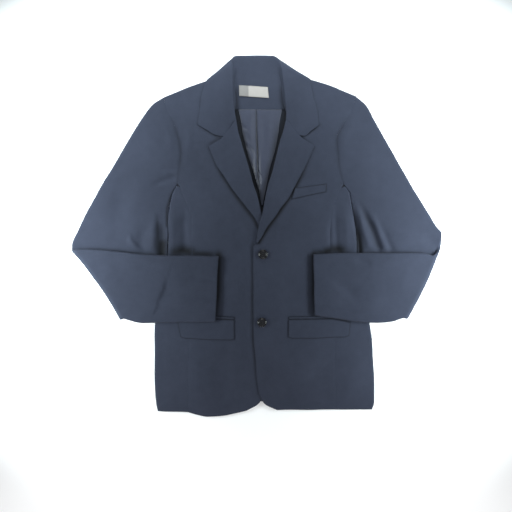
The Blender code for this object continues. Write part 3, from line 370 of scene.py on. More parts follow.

# Painted shadows: shade painted into the cloth's colour where layers meet and cast shadows fall, by
# the piece and the height that they start above. Columns: how dark, then as for the creases.
PAINTED_SHADOWS = {
    ("back", -1): [
        (1.0, 15, 15, 1.0, 1.0, [(-42, 262), (-36, 235), (-28, 195), (-14, 140), (4, 85),
         (15, 40)]),
        (1.0, 13, 13, 1.0, 1.0, [(62, 262), (54, 215), (44, 170), (32, 125), (22, 80), (16, 40)]),
    ],
    ("lining_back", -1): [
        (0.75, 5, 5, 0.3, 1.0, [(-37, 262), (-29, 225), (-20, 180), (-7, 138), (8, 88)]),
        (0.65, 10, 10, 0.2, 1.0, [(55, 262), (47, 210), (38, 160), (27, 120), (18, 80)]),
        (0.9, 2.5, 2.0, 0.5, 1.0, [(-0.5, 262), (1.5, 200), (3, 150), (4.5, 118), (8, 80)]),
        (0.3, 3, 4, 0.3, 0.3, [(-34, 238), (-24, 229), (-16, 212), (-6, 178)]),
    ],
    ("back_neck_facing", -1): [
        (0.6, 7, 7, 0.1, 1.0, [(-44, 320), (-44, 295), (-41, 266)]),
        (0.7, 7, 7, 0.1, 1.0, [(54, 325), (58, 295), (60, 266)]),
    ],
    ("front_left", -1): [
        (0.95, 4, 4, 0.3, 1.0, [(134, 234), (112, 219), (94, 208)]),
        (0.8, 4, 4, 1.0, 0.2, [(93, 209), (104, 198), (121, 185)]),
        (1.0, 5, 5, 0.1, 1.0, [(122, 185), (95, 127), (69, 80), (41, 40), (15, 2), (6, -13)]),
        (1.0, 8, 8, 1.0, 0.4, [(123, -38), (123, -75), (123, -120), (122, -166)]),
        (0.85, 6, 6, 0.5, 0.9, [(122, -34), (140, -34), (158, -34)]),
        (1.0, 9, 9, 0.2, 1.0, [(138, -36), (150, -32), (158, -30)]),
        (0.3, 4, 4, 0.0, 0.4, [(203, 264), (185, 238), (170, 204), (172, 174), (175, 143),
         (183, 109)]),
    ],
    ("front_right", -1): [
        (0.55, 4, 4, 0.3, 1.0, [(-123, 235), (-96, 219), (-74, 205)]),
        (0.5, 4, 4, 0.8, 0.3, [(-74, 206), (-88, 198), (-102, 189)]),
        (0.8, 4.5, 4.5, 0.15, 1.0, [(-102, 189), (-72, 129), (-38, 79), (-5, 37), (6, 17)]),
        (0.6, 3.5, 3.5, 0.6, 0.5, [(-7, -16), (-8, -120), (-7, -208), (-2, -278), (5, -330)]),
        (1.0, 8, 8, 1.0, 0.6, [(-79, -40), (-80, -100), (-84, -150), (-86, -176)]),
        (0.85, 6, 6, 0.8, 0.5, [(-145, -35), (-130, -37), (-80, -38)]),
        (1.0, 10, 10, 1.0, 0.3, [(-150, -30), (-140, -33), (-125, -37)]),
        (0.35, 4, 4, 0.0, 0.4, [(-187, 264), (-172, 233), (-162, 204), (-158, 174), (-161, 143),
         (-165, 111)]),
    ],
    ("side_right", -1): [
        (1.0, 11, 11, 0.9, 1.0, [(-170, -34), (-155, -30), (-142, -33)]),
        (0.9, 3, 3, 0.2, 1.0, [(-187, 20), (-187, -10), (-187, -38)]),
    ],
    ("side_left", -1): [
        (1.0, 11, 11, 0.9, 0.4, [(158, -29), (172, -28), (192, -35)]),
        (0.9, 3, 3, 0.2, 1.0, [(210, 20), (213.5, -10), (214, -38)]),
    ],
    ("sleeve_right_top", 2): [
        (0.45, 6, 6, 0.3, 0.8, [(-392, -25), (-330, -30), (-250, -37), (-190, -40)]),
    ],
    ("sleeve_left_top", 2): [
        (0.5, 6, 6, 0.3, 0.8, [(385, -34), (352, -37), (290, -36), (215, -36)]),
    ],
    ("sleeve_right_top", -1): [
        (0.5, 8, 8, 0.1, 1.0, [(-198, 34), (-197, 5), (-196, -38)]),
        (1.0, 14, 14, 0.0, 1.0, [(-197, 4), (-197, -14), (-198, -46)]),
        (0.6, 3.5, 3.5, 0.3, 0.9, [(-208, 44), (-207, 10), (-206, -24)]),
        (0.35, 4, 4, 0.0, 0.4, [(-187, 264), (-172, 233), (-162, 204), (-158, 174), (-161, 143),
         (-165, 111)]),
        (0.7, 3, 3, 0.3, 1.0, [(-167, 106), (-178, 88), (-186, 60), (-188, 20)]),
    ],
    ("sleeve_left_top", -1): [
        (1.0, 8, 7, 0.1, 1.0, [(208, 30), (213, 3), (217, -16), (220, -38)]),
        (0.6, 3.5, 3.5, 0.3, 0.9, [(201, 60), (208, 30), (214, 2)]),
        (0.45, 5, 6, 0.2, 0.9, [(217, 68), (230, 44), (243, 17), (256, -22)]),
        (0.3, 4, 4, 0.0, 0.4, [(203, 264), (185, 238), (170, 204), (172, 174), (175, 143),
         (183, 109)]),
    ],
}

# Shaping --------------------------------------------------------------------------------------


def smooth(value):
    """Ease from 0 to 1 as the value does, and stay there outside."""
    value = np.clip(value, 0.0, 1.0)
    return value * value * (3.0 - 2.0 * value)


def unit(vector):
    """Scale vectors to a length of one."""
    return vector / np.maximum(np.linalg.norm(vector, axis=-1, keepdims=True), 1e-9)


def lengths(points, axis=0):
    """Return how far along an axis each point lies from the first."""
    steps = np.linalg.norm(np.diff(points, axis=axis), axis=-1)
    return np.concatenate([np.zeros_like(steps.take([0], axis)), np.cumsum(steps, axis)], axis)


def finer(sheet, axis, cell):
    """Add points to a sheet along one axis, on a smooth curve that doesn't overshoot."""
    sheet = np.moveaxis(np.asarray(sheet, float), axis, 0)
    gaps = np.maximum(np.linalg.norm(np.diff(sheet, axis=0), axis=-1).mean(axis=1), 1e-4)
    knots = np.concatenate([[0.0], np.cumsum(gaps)])
    wanted = [0.0, *RIM_STEPS, *(knots[-1] - np.array(RIM_STEPS))]
    for start, gap in zip(knots, gaps):
        parts = max(2, math.ceil(gap / cell))
        wanted.extend(start + gap * np.arange(1, parts + 1) / parts)
    wanted = np.unique(np.round(wanted, 3))
    wanted = wanted[np.concatenate([[True], np.diff(wanted) > LEAST_STEP])]
    wanted[-1] = knots[-1]

    slopes = np.diff(sheet, axis=0) / gaps[:, None, None]
    before, after = slopes[:-1], slopes[1:]
    short, long = gaps[:-1, None, None], gaps[1:, None, None]
    level = before * after <= 0.0
    first = (2 * long + short) / np.where(level, 1.0, before)
    second = (long + 2 * short) / np.where(level, 1.0, after)
    inner = np.where(level, 0.0, 3 * (long + short) / np.where(level, 1.0, first + second))
    tangents = np.concatenate([slopes[:1], inner, slopes[-1:]])

    place = np.clip(np.searchsorted(knots, wanted, side="right") - 1, 0, len(gaps) - 1)
    gap = gaps[place][:, None, None]
    share = ((wanted - knots[place]) / gaps[place])[:, None, None]
    square, cube = share ** 2, share ** 3
    fine = (sheet[place] * (2 * cube - 3 * square + 1)
            + tangents[place] * gap * (cube - 2 * square + share)
            + sheet[place + 1] * (3 * square - 2 * cube)
            + tangents[place + 1] * gap * (cube - square))
    return np.moveaxis(fine, 0, axis)


def from_line(x, y, line):
    """Return how far points are from a line, on which side of it, and how far along it."""
    line = np.asarray(line, float)
    steps = np.diff(line, axis=0)
    spans = np.linalg.norm(steps, axis=1)
    passed = lengths(line)
    near, side, along = np.full(x.shape, 1e9), np.zeros(x.shape), np.zeros(x.shape)
    for start, step, span, before in zip(line, steps, spans, passed):
        reach_x, reach_y = x - start[0], y - start[1]
        share = np.clip((reach_x * step[0] + reach_y * step[1]) / span ** 2, 0.0, 1.0)
        distance = np.hypot(reach_x - share * step[0], reach_y - share * step[1])
        closer = distance < near
        near = np.where(closer, distance, near)
        side = np.where(closer, reach_x * step[1] - reach_y * step[0], side)
        along = np.where(closer, (before + share * span) / passed[-1], along)
    return near, side, along


def crease_height(x, y, creases):
    """Add up the soft troughs and ridges of a table at each point."""
    total = np.zeros(x.shape)
    for height, left, right, start, end, line in creases:
        near, side, along = from_line(x, y, line)
        width = np.where(side > 0.0, right, left)
        strength = start + (1.0 - start) * smooth(along / CREASE_FADE)
        strength = np.minimum(strength, end + (1.0 - end) * smooth((1.0 - along) / CREASE_FADE))
        total += height * strength * np.exp(-(near / width) ** 2)
    return total


def painted_shade_at(node, points, rim):
    """Return the shade painted on a piece's cloth at its edges and shadows, from 0 to 1."""
    x, y, z = points.T
    total = rim.copy()
    highest = UPPER_ARM_TOP if node.startswith("sleeve") else math.inf
    for (piece, lowest), creases in PAINTED_SHADOWS.items():
        for crease in creases if piece == node else ():
            seen = (z > lowest) & (z < highest)
            total = np.maximum(total, seen * crease_height(x, y, [crease]))
    return np.clip(total, 0.0, 1.0)


def uneven(x, y, size, seed):
    """Return a smooth uneven field between about -1 and 1, with waves of about a size."""
    chance = np.random.default_rng(seed)
    total = np.zeros(np.shape(x))
    for _ in range(WAVES):
        way = chance.uniform(0.0, 2.0 * math.pi)
        pace = 2.0 * math.pi / (size * chance.uniform(0.7, 1.6))
        start = chance.uniform(0.0, 2.0 * math.pi)
        total += np.sin((x * math.cos(way) + y * math.sin(way)) * pace + start)
    return total / (WAVES / 2)


def drape(points, strength):
    """Move every layer at a place up or down together, and the forearms by their own creases."""
    x, y, z = points.T.copy()
    body, forearm = crease_height(x, y, BODY_CREASES), crease_height(x, y, FOREARM_CREASES)
    for share, size, seed in BODY_WAVES:
        body = body + share * uneven(x, y, size, seed)
    for share, size, seed in FOREARM_WAVES:
        forearm = forearm + share * uneven(x, y, size, seed)
    low, high = (smooth((y - level) / COVER_SLOPE_Y) for level in FOREARM_Y)
    right, left = (smooth((x - cuff) / COVER_SLOPE_X) for cuff in CUFF_X)
    covered = low * (1.0 - high) * np.maximum(1.0 - right, left)
    body = np.where(body > 0.0, body * (1.0 - covered), body)
    on_floor = smooth((z - FLOOR_LAYER_TOP) / (FRONT_Z - SHELL / 2 - FLOOR_LAYER_TOP))
    on_forearm = smooth((z - FOREARM_LOW) / (FOREARM_HIGH - FOREARM_LOW))
    above_body = smooth((z - FRONT_Z - BODY_TOP) / BODY_TOP_SLOPE)
    z += strength * (body * on_floor * (1.0 - above_body) + forearm * on_forearm)
    share, size, seed = PLAN_WAVES
    x += share * uneven(x, y, size, seed)
    y += share * uneven(x, y, size, seed + 1)
    return np.column_stack([x, y, z])


def lay_lining(points, strength):
    """Drape the lining, which has folds of its own."""
    points = points.copy()
    points[:, 2] += strength * crease_height(points[:, 0], points[:, 1], LINING_CREASES)
    return drape(points, strength)


def wall_of_cloth(sheet, wall, cell, seams, flush, up_at, fold):
    """Give a sheet a wall with rounded rims.

    It returns vertices, faces, UV map, a shade for the rims, and the pairs of vertices of sharp
    edges. Sides are named start and end, for the first and last rows, and near and far, for the
    first and last columns. seams gives the depth that the cloth dips into a seam along a side, and
    flush how far a side reaches out to meet its neighbour without a rounded rim. up_at is a row
    and a column, as shares, where the cloth's right side looks up, or down if it is negative.
    """
    middle = finer(finer(sheet, 0, cell), 1, cell)
    for side, reach in flush.items():
        edge, inside = SIDES[side]
        middle[edge] += unit(middle[edge] - middle[inside]) * reach
    rows, columns = middle.shape[:2]
    across, down = lengths(middle, 1), lengths(middle, 0)
    edges = {"near": across, "far": across[:, -1:] - across, "start": down, "end": down[-1:] - down}

    normal = unit(np.cross(np.gradient(middle, axis=1), np.gradient(middle, axis=0)))
    row, column, way = up_at
    if normal[int(row * (rows - 1)), int(column * (columns - 1)), 2] * way < 0.0:
        normal = -normal
    for side, depth in seams.items():
        dip = depth * np.exp(-(edges[side] / SEAM_WIDTH) ** 2)
        middle = middle - normal * dip[..., None]
    rim = np.minimum.reduce([edges[side] for side in edges if side not in flush] or [across + 1e3])
    rounded = np.sqrt(np.clip(rim / RIM_WIDTH, 0.0, 1.0))
    offset = normal * (wall / 2 * (RIM_SHARE + (1.0 - RIM_SHARE) * rounded))[..., None]
    vertices = np.concatenate([(middle + offset).reshape(-1, 3), (middle - offset).reshape(-1, 3)])
    if fold is not None:
        vertices = fold(vertices)

    under = rows * columns
    index = np.arange(under).reshape(rows, columns)
    cells = np.stack([index[:-1, :-1], index[:-1, 1:], index[1:, 1:], index[1:, :-1]], axis=-1)
    cells = cells.reshape(-1, 4)
    ring = np.concatenate([index[0, :], index[1:, -1], index[-1, -2::-1], index[-2:0:-1, 0]])
    after = np.roll(ring, -1)
    band = np.stack([after, ring, under + ring, under + after], axis=-1)
    faces = np.concatenate([cells, under + cells[:, ::-1], band])
    first, second, third, fourth = vertices[faces].transpose(1, 0, 2)
    volume = np.einsum("ij,ij->i", first, np.cross(second, third)).sum()
    volume += np.einsum("ij,ij->i", first, np.cross(third, fourth)).sum()
    if volume < 0.0:
        faces = faces[:, ::-1]
    chart = np.tile(np.column_stack([across.ravel(), down.ravel()]) * MM, (2, 1))
    # Painted shade: the cloth is darkened along its rims, standing in for the shadow lines at its
    # edges
    shade = np.exp(-(np.tile(rim.ravel(), 2) / EDGE_SHADE_WIDTH) ** 2)
    lines = [index[SIDES[side][0]] for side in flush]
    pairs = [np.column_stack([line[:-1], line[1:]]) for line in lines]
    sharp = np.concatenate([np.zeros((0, 2), int), *pairs])
    return vertices, faces, chart, shade, np.concatenate([sharp, under + sharp])


# Sheets of points, as the solids have them ----------------------------------------------------


def spread(points, count, ease=1.0):
    """Return points at even steps along a line, drawn towards its end if ease is above 1."""
    points = np.asarray(points, float)
    along = lengths(points)
    wanted = along[-1] * (1.0 - (1.0 - np.linspace(0.0, 1.0, count)) ** ease)
    return np.stack([np.interp(wanted, along, column) for column in points.T], axis=1)


def side_normals(line):
    """Return the normals in plan, to the right of the way along the line."""
    steps = unit(np.diff(np.asarray(line, float)[:, :2], axis=0))
    way = unit(np.vstack([steps, steps[-1:]]) + np.vstack([steps[:1], steps]))
    return np.stack([way[:, 1], -way[:, 0]], axis=1)


def moved(line, distance):
    """Move a line in plan to the right of the way along it."""
    line = np.array(line, float)
    line[:, :2] += side_normals(line) * distance
    return line


def arc(centre, towards, radius, start, end, count):
    """Return points on an upright arc; 0 degrees is straight up and 90 is level with towards."""
    angles = np.radians(np.linspace(start, end, count))
    level = np.outer(np.sin(angles), np.append(towards, 0.0))
    return np.asarray(centre) + radius * (level + np.outer(np.cos(angles), UP))


def at_height(points, height):
    """Give plan points a height, which may be a number or a function of x and y."""
    points = np.asarray(points, float)
    z = height(*points.T[:2]) if callable(height) else np.full(len(points), height)
    return np.column_stack([points[:, :2], z])


def back_z(x, y):
    """Middle of the back: flat, and lifted over the collar's fall behind the neck."""
    near_neck = 1.0 - smooth((np.abs(x - LIFT_X) - LIFT_HALF) / LIFT_SLOPE_X)
    return BACK_Z + BACK_LIFT * near_neck * smooth((y - LIFT_Y) / LIFT_SLOPE_Y)


def front_right_z(x, y):
    """Middle of the under front, which is level."""
    return np.full(np.broadcast(x, y).shape, FRONT_Z)


def front_left_z(x, y):
    """Middle of the upper front, lifted where it laps over the under front and its lapel."""
    across = 1.0 - smooth((x - LAP_X) / LAP_SLOPE_X)
    start = 1.0 - smooth((y - LAP_Y) / LAP_SLOPE_Y)
    over_lapel = smooth((y - OVER_LAPEL_Y) / OVER_LAPEL_SLOPE)
    return FRONT_Z + across * start * ON_FRONT * (1.0 + over_lapel)


def on_left(x, y):
    """Middle of what lies on the left front."""
    return front_left_z(x, y) + ON_FRONT


def on_right(x, y):
    """Middle of what lies on the right front."""
    return front_right_z(x, y) + ON_FRONT


def facing_z(x, y):
    """Middle of the facing, which lies on the back."""
    return back_z(x, y) + ON_BACK + FACING / 2


def label_z(x, y):
    """Middle of the label, which lies on the facing."""
    return facing_z(x, y) + FACING / 2 + CURVED_LAYER + LINING / 2


def pleat_edge(y):
    """Return where the lining's centre pleat has its edge."""
    return np.interp(-y, [-row[0] for row in PLEAT], [row[1] for row in PLEAT])


def lining_z(x, y):
    """Middle of the lining, raised on one side of its pleat and tucked in along its edge."""
    past = x - pleat_edge(y)
    rise = smooth((past + PLEAT_WIDTH) / PLEAT_WIDTH) * (1.0 - smooth(past / 1.0))
    after = 0.45 * smooth((past - 1.2) / 2.0) * (1.0 - smooth((past - 3.0) / 14.0))
    flat = BACK_Z + SHELL / 2 + LAYER + LINING / 2
    return flat + PLEAT_HEIGHT * (rise + after) * smooth((y - PLEAT_END_Y) / PLEAT_FADE)


def front_sheet(table, lapel, shoulder, hem, height, outward):
    """Lay out a front from its shoulder, which turns down to the back, to its hem."""
    roll_edge = moved([row[:2] for row in lapel], outward * -FRONT_INSET)
    lines = [shoulder]
    for outer_x, outer_y, inner_x, inner_y in table[1:]:
        if inner_x is None:
            inner_x = np.interp(-inner_y, -roll_edge[:, 1], roll_edge[:, 0])
        lines.append([(outer_x, outer_y), (inner_x, inner_y)])
    if hem is not None:
        lines[-1] = hem
    columns = FRONT_COLUMNS[outward]
    flat = [spread(line, columns, ROW_EASE) for line in lines]
    over_edge = side_normals(flat[0]) * outward
    top = flat[0] - over_edge * (SHOULDER_ROLL + SHELL / 2)
    low = back_z(flat[0][:, 0], flat[0][:, 1]) + SHELL / 2 + 3 * LAYER
    low = np.minimum(low, FRONT_Z - SHOULDER_ROLL - LAYER / 2)
    rows = [np.column_stack([top + over_edge * SHOULDER_ROLL, low])]
    for angle in np.radians((90.0, 60.0, 30.0, 0.0)):
        turned = top + over_edge * (math.sin(angle) * SHOULDER_ROLL)
        rows.append(at_height(turned, FRONT_Z - (1.0 - math.cos(angle)) * SHOULDER_ROLL))
    return rows + [at_height(line, height) for line in flat[1:]]


def side_sheet(front_table, side_table, outward):
    """Wrap a side panel from its seam with the front round the side to the back seam."""
    seams = moved([row[:2] for row in front_table[ARMHOLE_ROWS:]], outward * SEAM)
    radius = (FRONT_Z - BACK_Z) / 2
    rows = []
    for seam, (*fold, back_x, back_y) in zip(seams, side_table):
        way = unit(np.array(fold, float) - seam)
        middle = np.array(fold, float) - way * (radius + SHELL / 2)
        upper = spread([(*seam, FRONT_Z), (*middle, FRONT_Z)], 3)[:-1]
        turn = arc((*middle, FRONT_Z - radius), way, radius, 0.0, 180.0, 5)
        lower = spread([(*middle, BACK_Z), (back_x, back_y, BACK_Z)], 3)[1:]
        rows.append(np.vstack([upper, turn, lower]))
    return rows


def back_sheet():
    """Lay out the back, between the armholes and then between the side panels."""
    top = spread(BACK_TOP, BACK_COLUMNS)
    rise = top[:, 1] - top[0, 1]
    rows = []
    for place in BACK_ROW_PLACES:
        before, share = int(place), place - int(place)
        ends = []
        for table in (FRONT_RIGHT_ROWS, FRONT_LEFT_ROWS):
            start, end = (np.array(row[:2], float) for row in table[before:before + 2])
            ends.append(start + (end - start) * share)
        line = spread(ends, BACK_COLUMNS)
        line[:, 1] += rise * max(0.0, line[0, 1] - BACK_LEVEL_Y) / (top[0, 1] - BACK_LEVEL_Y)
        rows.append(line)
    right_seam = moved([row[2:] for row in SIDE_RIGHT_ROWS], -SEAM)
    left_seam = moved([row[2:] for row in SIDE_LEFT_ROWS], SEAM)
    rows += [spread(ends, BACK_COLUMNS) for ends in zip(right_seam, left_seam)]
    from_middle = rows[-1][:, 0] - HEM_MIDDLE
    rows[-1][:, 1] += BACK_HEM_RISE * np.exp(-(from_middle / HEM_WIDTH) ** 2)
    return [at_height(row, back_z) for row in rows]


def lapel_sheet(table, notch, height, away):
    """Lay a lapel on its front, with its fold rolled round the front's edge."""
    normals = side_normals([row[:2] for row in table]) * away
    rows = []
    for normal, (roll_x, roll_y, *edge, curl) in zip(normals, table):
        line = [edge, np.array([roll_x, roll_y]) + normal * (LAPEL_ROLL + SHELL / 2)]
        if not rows:
            line.insert(1, notch)
        flat = at_height(spread(line, 6), height)
        flat[:, 2] += ON_FRONT
        centre = flat[-1] - np.array(UP) * LAPEL_ROLL
        turn = arc((*line[-1], centre[2]), -normal, LAPEL_ROLL, 0.0, curl, 6)
        angle = math.radians(curl)
        onward = np.append(-normal * math.cos(angle), -math.sin(angle))
        under = turn[-1] + onward * max(0.4, LAPEL_RETURN * (curl - 90.0) / 90.0)
        rows.append(np.vstack([flat, turn[1:], under]))
    return rows


def slerp(first, second, share):
    """Turn one direction towards another by a share of the angle between them."""
    angle = math.acos(float(np.clip(np.dot(first, second), -1.0, 1.0)))
    if angle < 1e-4:
        return first
    turned = math.sin((1 - share) * angle) * first + math.sin(share * angle) * second
    return turned / math.sin(angle)


def collar_sheet():
    """Lead the collar round the neck: stand, rolled fold and fall at each station."""
    inward = side_normals([row[:2] for row in COLLAR_ROWS])
    up = np.array(UP)
    rows = []
    for number, row in enumerate(COLLAR_ROWS):
        centre, radius, reach, edge = np.array(row[:3]), row[3], row[4], np.array(row[6:9])
        side = -1 if number < len(COLLAR_ROWS) / 2 else 1
        into = np.append(inward[number], 0.0)
        if number in SEAM_AIMS:
            aim = np.append(np.array(SEAM_AIMS[number]) - centre[:2], 0.0)
            into, reach = unit(aim), np.linalg.norm(aim)
        drop = centre[2] - row[5]
        stand = math.sqrt(reach ** 2 + drop ** 2 - radius ** 2)
        slope = math.atan2(drop, reach) + math.atan2(radius, stand)
        stand_face = math.cos(slope) * up + math.sin(slope) * into
        stand_way = math.cos(slope) * into - math.sin(slope) * up
        fall_way = unit(np.append((edge - centre)[:2], 0.0))
        outward = np.array([fall_way[1], -fall_way[0], 0.0]) * -side
        roll = math.radians(row[9])
        fall_face = math.cos(roll) * up + math.sin(roll) * outward
        crest = unit(stand_face + fall_face - stand_way - fall_way)
        faces = [slerp(first, second, share) for first, second in
                 ((stand_face, crest), (crest, fall_face)) for share in (0.0, 1 / 3, 2 / 3)]
        turn = centre + radius * np.array([*faces, fall_face])
        seam = turn[0] + stand_way * stand
        dip = turn[-1] + (edge - turn[-1]) * NOTCH_PLACE[side] - np.array([0.0, row[10], 0.0])
        fall = spread([turn[-1], dip, edge], 6)
        rows.append(np.vstack([spread([seam, turn[0]], 3)[:-1], turn, fall[1:]]))
    rows[0][:, 1] += GORGE_GAP
    rows[-1][:, 1] += GORGE_GAP
    return rows


def facing_sheet():
    """Lay the facing on the back, from under the collar's stand down to the lining."""
    folds = np.array([row[:2] for row in COLLAR_ROWS], float)
    seam = folds + side_normals(folds) * np.array([row[4] for row in COLLAR_ROWS])[:, None]
    rows = []
    for y in FACING_LEVELS:
        ends = []
        for way, side, top in zip((-1.0, 1.0), (seam[1:6][::-1], seam[-6:-1]), FACING_TOP):
            beside = np.interp(-y, -side[:, 1], side[:, 0]) + FACING_REACH * way
            tucked = smooth((FACING_TUCK_Y - y) / FACING_TUCK_SLOPE)
            ends.append((top + (beside - top) * tucked, y))
        rows.append(at_height(spread(ends, FACING_COLUMNS), facing_z))
    return rows


def lining_sheet():
    """Lay the lining on the back, with points gathered at the pleat."""
    rows = []
    for y, start, end in LINING_ROWS:
        edge = float(pleat_edge(y))
        wide = min(PLEAT_WIDTH, 0.7 * (edge - start))
        steps = [start, (start + edge - wide) / 2, edge - wide, edge - wide / 2, edge - 0.8, edge,
                 edge + 1.0, edge + 2.2, edge + 3.2, (edge + 3.2 + end) / 2, end]
        if y < LINING_PLAIN_Y:
            steps = np.linspace(start, end, len(steps))
        rows.append(at_height([(x, y) for x in steps], lining_z))
    return rows


def four_corner_sheet(corners, across, down, height):
    """Fill the outline between four corners, given round from the upper left."""
    upper_left, upper_right, lower_right, lower_left = (np.array(c, float) for c in corners)
    return [at_height(spread([upper_left + (lower_left - upper_left) * share,
                              upper_right + (lower_right - upper_right) * share], across), height)
            for share in np.linspace(0.0, 1.0, down)]


def flap_sheet(top, bottom, height):
    """Lay out a pocket flap with rounded lower corners."""
    upper, lower = spread(top, FLAP_COLUMNS), spread(bottom, FLAP_COLUMNS)
    width = np.linalg.norm(lower[-1] - lower[0])
    along = np.linspace(0, width, FLAP_COLUMNS)
    reach = np.clip(FLAP_CORNER * 2 - np.minimum(along, width - along), 0.0, FLAP_CORNER * 2) / 2
    lower[:, 1] += FLAP_CORNER - np.sqrt(FLAP_CORNER ** 2 - reach ** 2)
    return [at_height(upper + (lower - upper) * share, height) for share in (0.0, 0.5, 1.0)]


def jet_sheet(top, height):
    """Lay out the narrow jet above a flap."""
    line = spread(top, FLAP_COLUMNS)
    return [at_height(line + np.array([0.0, rise]), height) for rise in (SEAM + JET_WIDTH, SEAM)]


class Sleeve:
    """One sleeve, laid out straight and then folded at the elbow over its own upper arm."""

    def __init__(self, front_table, side_table, upper, elbow, forearm, side):
        outer, inner = np.array(elbow[:2], float), np.array(elbow[2:4], float)
        drawn_in, self.bow = elbow[4:]
        way = unit(inner - outer)
        self.out = np.array([-way[1], way[0]]) * side
        reach = ELBOW_Z - BACK_Z + SHELL / 2
        self.start = outer - self.out * reach + way * ELBOW_INSET
        self.end = inner - self.out * reach - way * ELBOW_INSET
        hole = [row[:2] for row in front_table[:ARMHOLE_ROWS]]
        low = [row[:2] for row in side_table[1:] if row[1] > ARMHOLE_END_Y]
        armhole = moved(hole + low, side * -SEAM)
        armhole[-1, 0] -= side * ARMHOLE_EASE
        columns = len(armhole)
        self.stations = [armhole]
        for *ends, curve in upper:
            straight = spread([ends[:2], ends[2:]], columns)
            chord = spread([armhole[0], armhole[-1]], columns)
            self.stations.append(straight + (armhole - chord) * curve)
        for share in (0.0, 1 / 3, 2 / 3, 1.0):
            line = spread([self.start + way * drawn_in * share ** 0.6, self.end], columns)
            self.stations.append(self.bowed(line, 1.0) + self.out * ELBOW_LENGTH * share)
        for ends in forearm:
            ends = [self.reflected(end) + self.out * ELBOW_LENGTH for end in (ends[:2], ends[2:])]
            self.stations.append(self.bowed(spread(ends, columns), 2.0))

    def reflected(self, point):
        """Reflect a plan point in the elbow's line."""
        way, reach = unit(self.end - self.start), np.asarray(point) - self.start
        return self.start + 2.0 * way * reach.dot(way) - reach

    def bow_at(self, plan):
        """Return how far the elbow's line bows outwards beside plan points."""
        length = np.linalg.norm(self.end - self.start)
        way = unit(self.end - self.start)
        share = np.clip((plan - self.start).dot(way) / length, 0.0, 1.0)
        return self.bow * 4.0 * share * (1.0 - share)

    def bowed(self, line, times):
        """Move a line outwards with the elbow's bow."""
        return line + np.outer(self.bow_at(line) * times, self.out)

    def fold(self, points):
        """Bend the straight sleeve about its elbow line."""
        plan, z = points[:, :2], points[:, 2]
        distance = (plan - self.start).dot(self.out) - self.bow_at(plan)
        angle = np.clip(distance / ELBOW_LENGTH, 0.0, 1.0) * math.pi
        past = np.maximum(distance - ELBOW_LENGTH, 0.0)
        level = np.where(distance <= 0.0, distance, (ELBOW_Z - z) * np.sin(angle) - past)
        rise = np.where(distance <= 0.0, z, ELBOW_Z - (ELBOW_Z - z) * np.cos(angle))
        bowed_line = plan - np.outer(distance, self.out)
        return np.column_stack([bowed_line + np.outer(level, self.out), rise])

    def sections(self):
        """Return each station's height, fold radius, ways outwards, upper line and lower line."""
        for number, line in enumerate(self.stations):
            top = FRONT_Z + (ARM_Z - FRONT_Z) * min(1.0, number / 3)
            radius = (top - BACK_Z) / 2
            ways = unit(line[0] - line[1]), unit(line[-1] - line[-2])
            inset = radius + SHELL / 2
            upper = np.array([line[0] - ways[0] * inset, *line[1:-1], line[-1] - ways[1] * inset])
            along = lengths(upper)
            wanted = [SLEEVE_BACK_SEAM, *along[2:-2], along[-1] - SLEEVE_FRONT_SEAM]
            lower = np.stack([np.interp(wanted, along, column) for column in upper.T], axis=1)
            yield top, radius, ways, upper, lower

    def top_sheet(self):
        """Return the top sleeve, which wraps under at both edges."""
        rows = []
        for top, radius, ways, line, lower in self.sections():
            outer = arc((*line[0], top - radius), ways[0], radius, 180.0, 0.0, 5)
            inner = arc((*line[-1], top - radius), ways[1], radius, 0.0, 180.0, 5)
            rows.append(np.vstack([[(*lower[0], BACK_Z)], outer, at_height(line, top)[1:-1], inner,
                                   [(*lower[-1], BACK_Z)]]))
        return rows

    def under_sheet(self):
        """Return the under sleeve, a seam's gap away from the top sleeve at each edge."""
        rows = []
        for *_, lower in self.sections():
            lower[0] += unit(lower[1] - lower[0]) * SLEEVE_SEAM
            lower[-1] += unit(lower[-2] - lower[-1]) * SLEEVE_SEAM
            rows.append(at_height(lower, BACK_Z))
        return rows


# Materials ------------------------------------------------------------------------------------


def shader_group(name, inputs, outputs):
    """Start a shader node group with named inputs and outputs."""
    group = bpy.data.node_groups.new(name, "ShaderNodeTree")
    for label, kind, default in inputs:
        socket = group.interface.new_socket(name=label, in_out="INPUT", socket_type=kind)
        if default is not None:
            socket.default_value = default
    for label in outputs:
        group.interface.new_socket(name=label, in_out="OUTPUT", socket_type="NodeSocketFloat")
    return group, group.nodes.new("NodeGroupInput"), group.nodes.new("NodeGroupOutput")


def set_inputs(node, **values):
    """Set the values of unlinked inputs, with _ for each space of their names."""
    for key, value in values.items():
        node.inputs[key.replace("_", " ")].default_value = value


def add_node(tree, kind, settings=None, **values):
    """Add a node, with its settings and the values of its unlinked inputs."""
    node = tree.nodes.new(kind)
    for key, value in (settings or {}).items():
        setattr(node, key, value)
    set_inputs(node, **values)
    return node


def join(tree, *pairs):
    """Link pairs of an output and an input."""
    for given, wanted in pairs:
        tree.links.new(given, wanted)


def add_maths(tree, operation, *values):
    """Add a maths node; each input is a socket or a number."""
    node = add_node(tree, "ShaderNodeMath", {"operation": operation})
    for socket, value in zip(node.inputs, values):
        if isinstance(value, bpy.types.NodeSocket):
            tree.links.new(value, socket)
        else:
            socket.default_value = value
    return node.outputs[0]


def ranged(tree, value, **limits):
    """Map a value from one range to another."""
    node = add_node(tree, "ShaderNodeMapRange", **limits)
    tree.links.new(value, node.inputs["Value"])
    return node.outputs["Result"]


def mixed(tree, share, first, second):
    """Mix two numbers' sockets by a fixed share."""
    node = add_node(tree, "ShaderNodeMix", Factor=share)
    join(tree, (first, node.inputs[2]), (second, node.inputs[3]))
    return node.outputs[0]


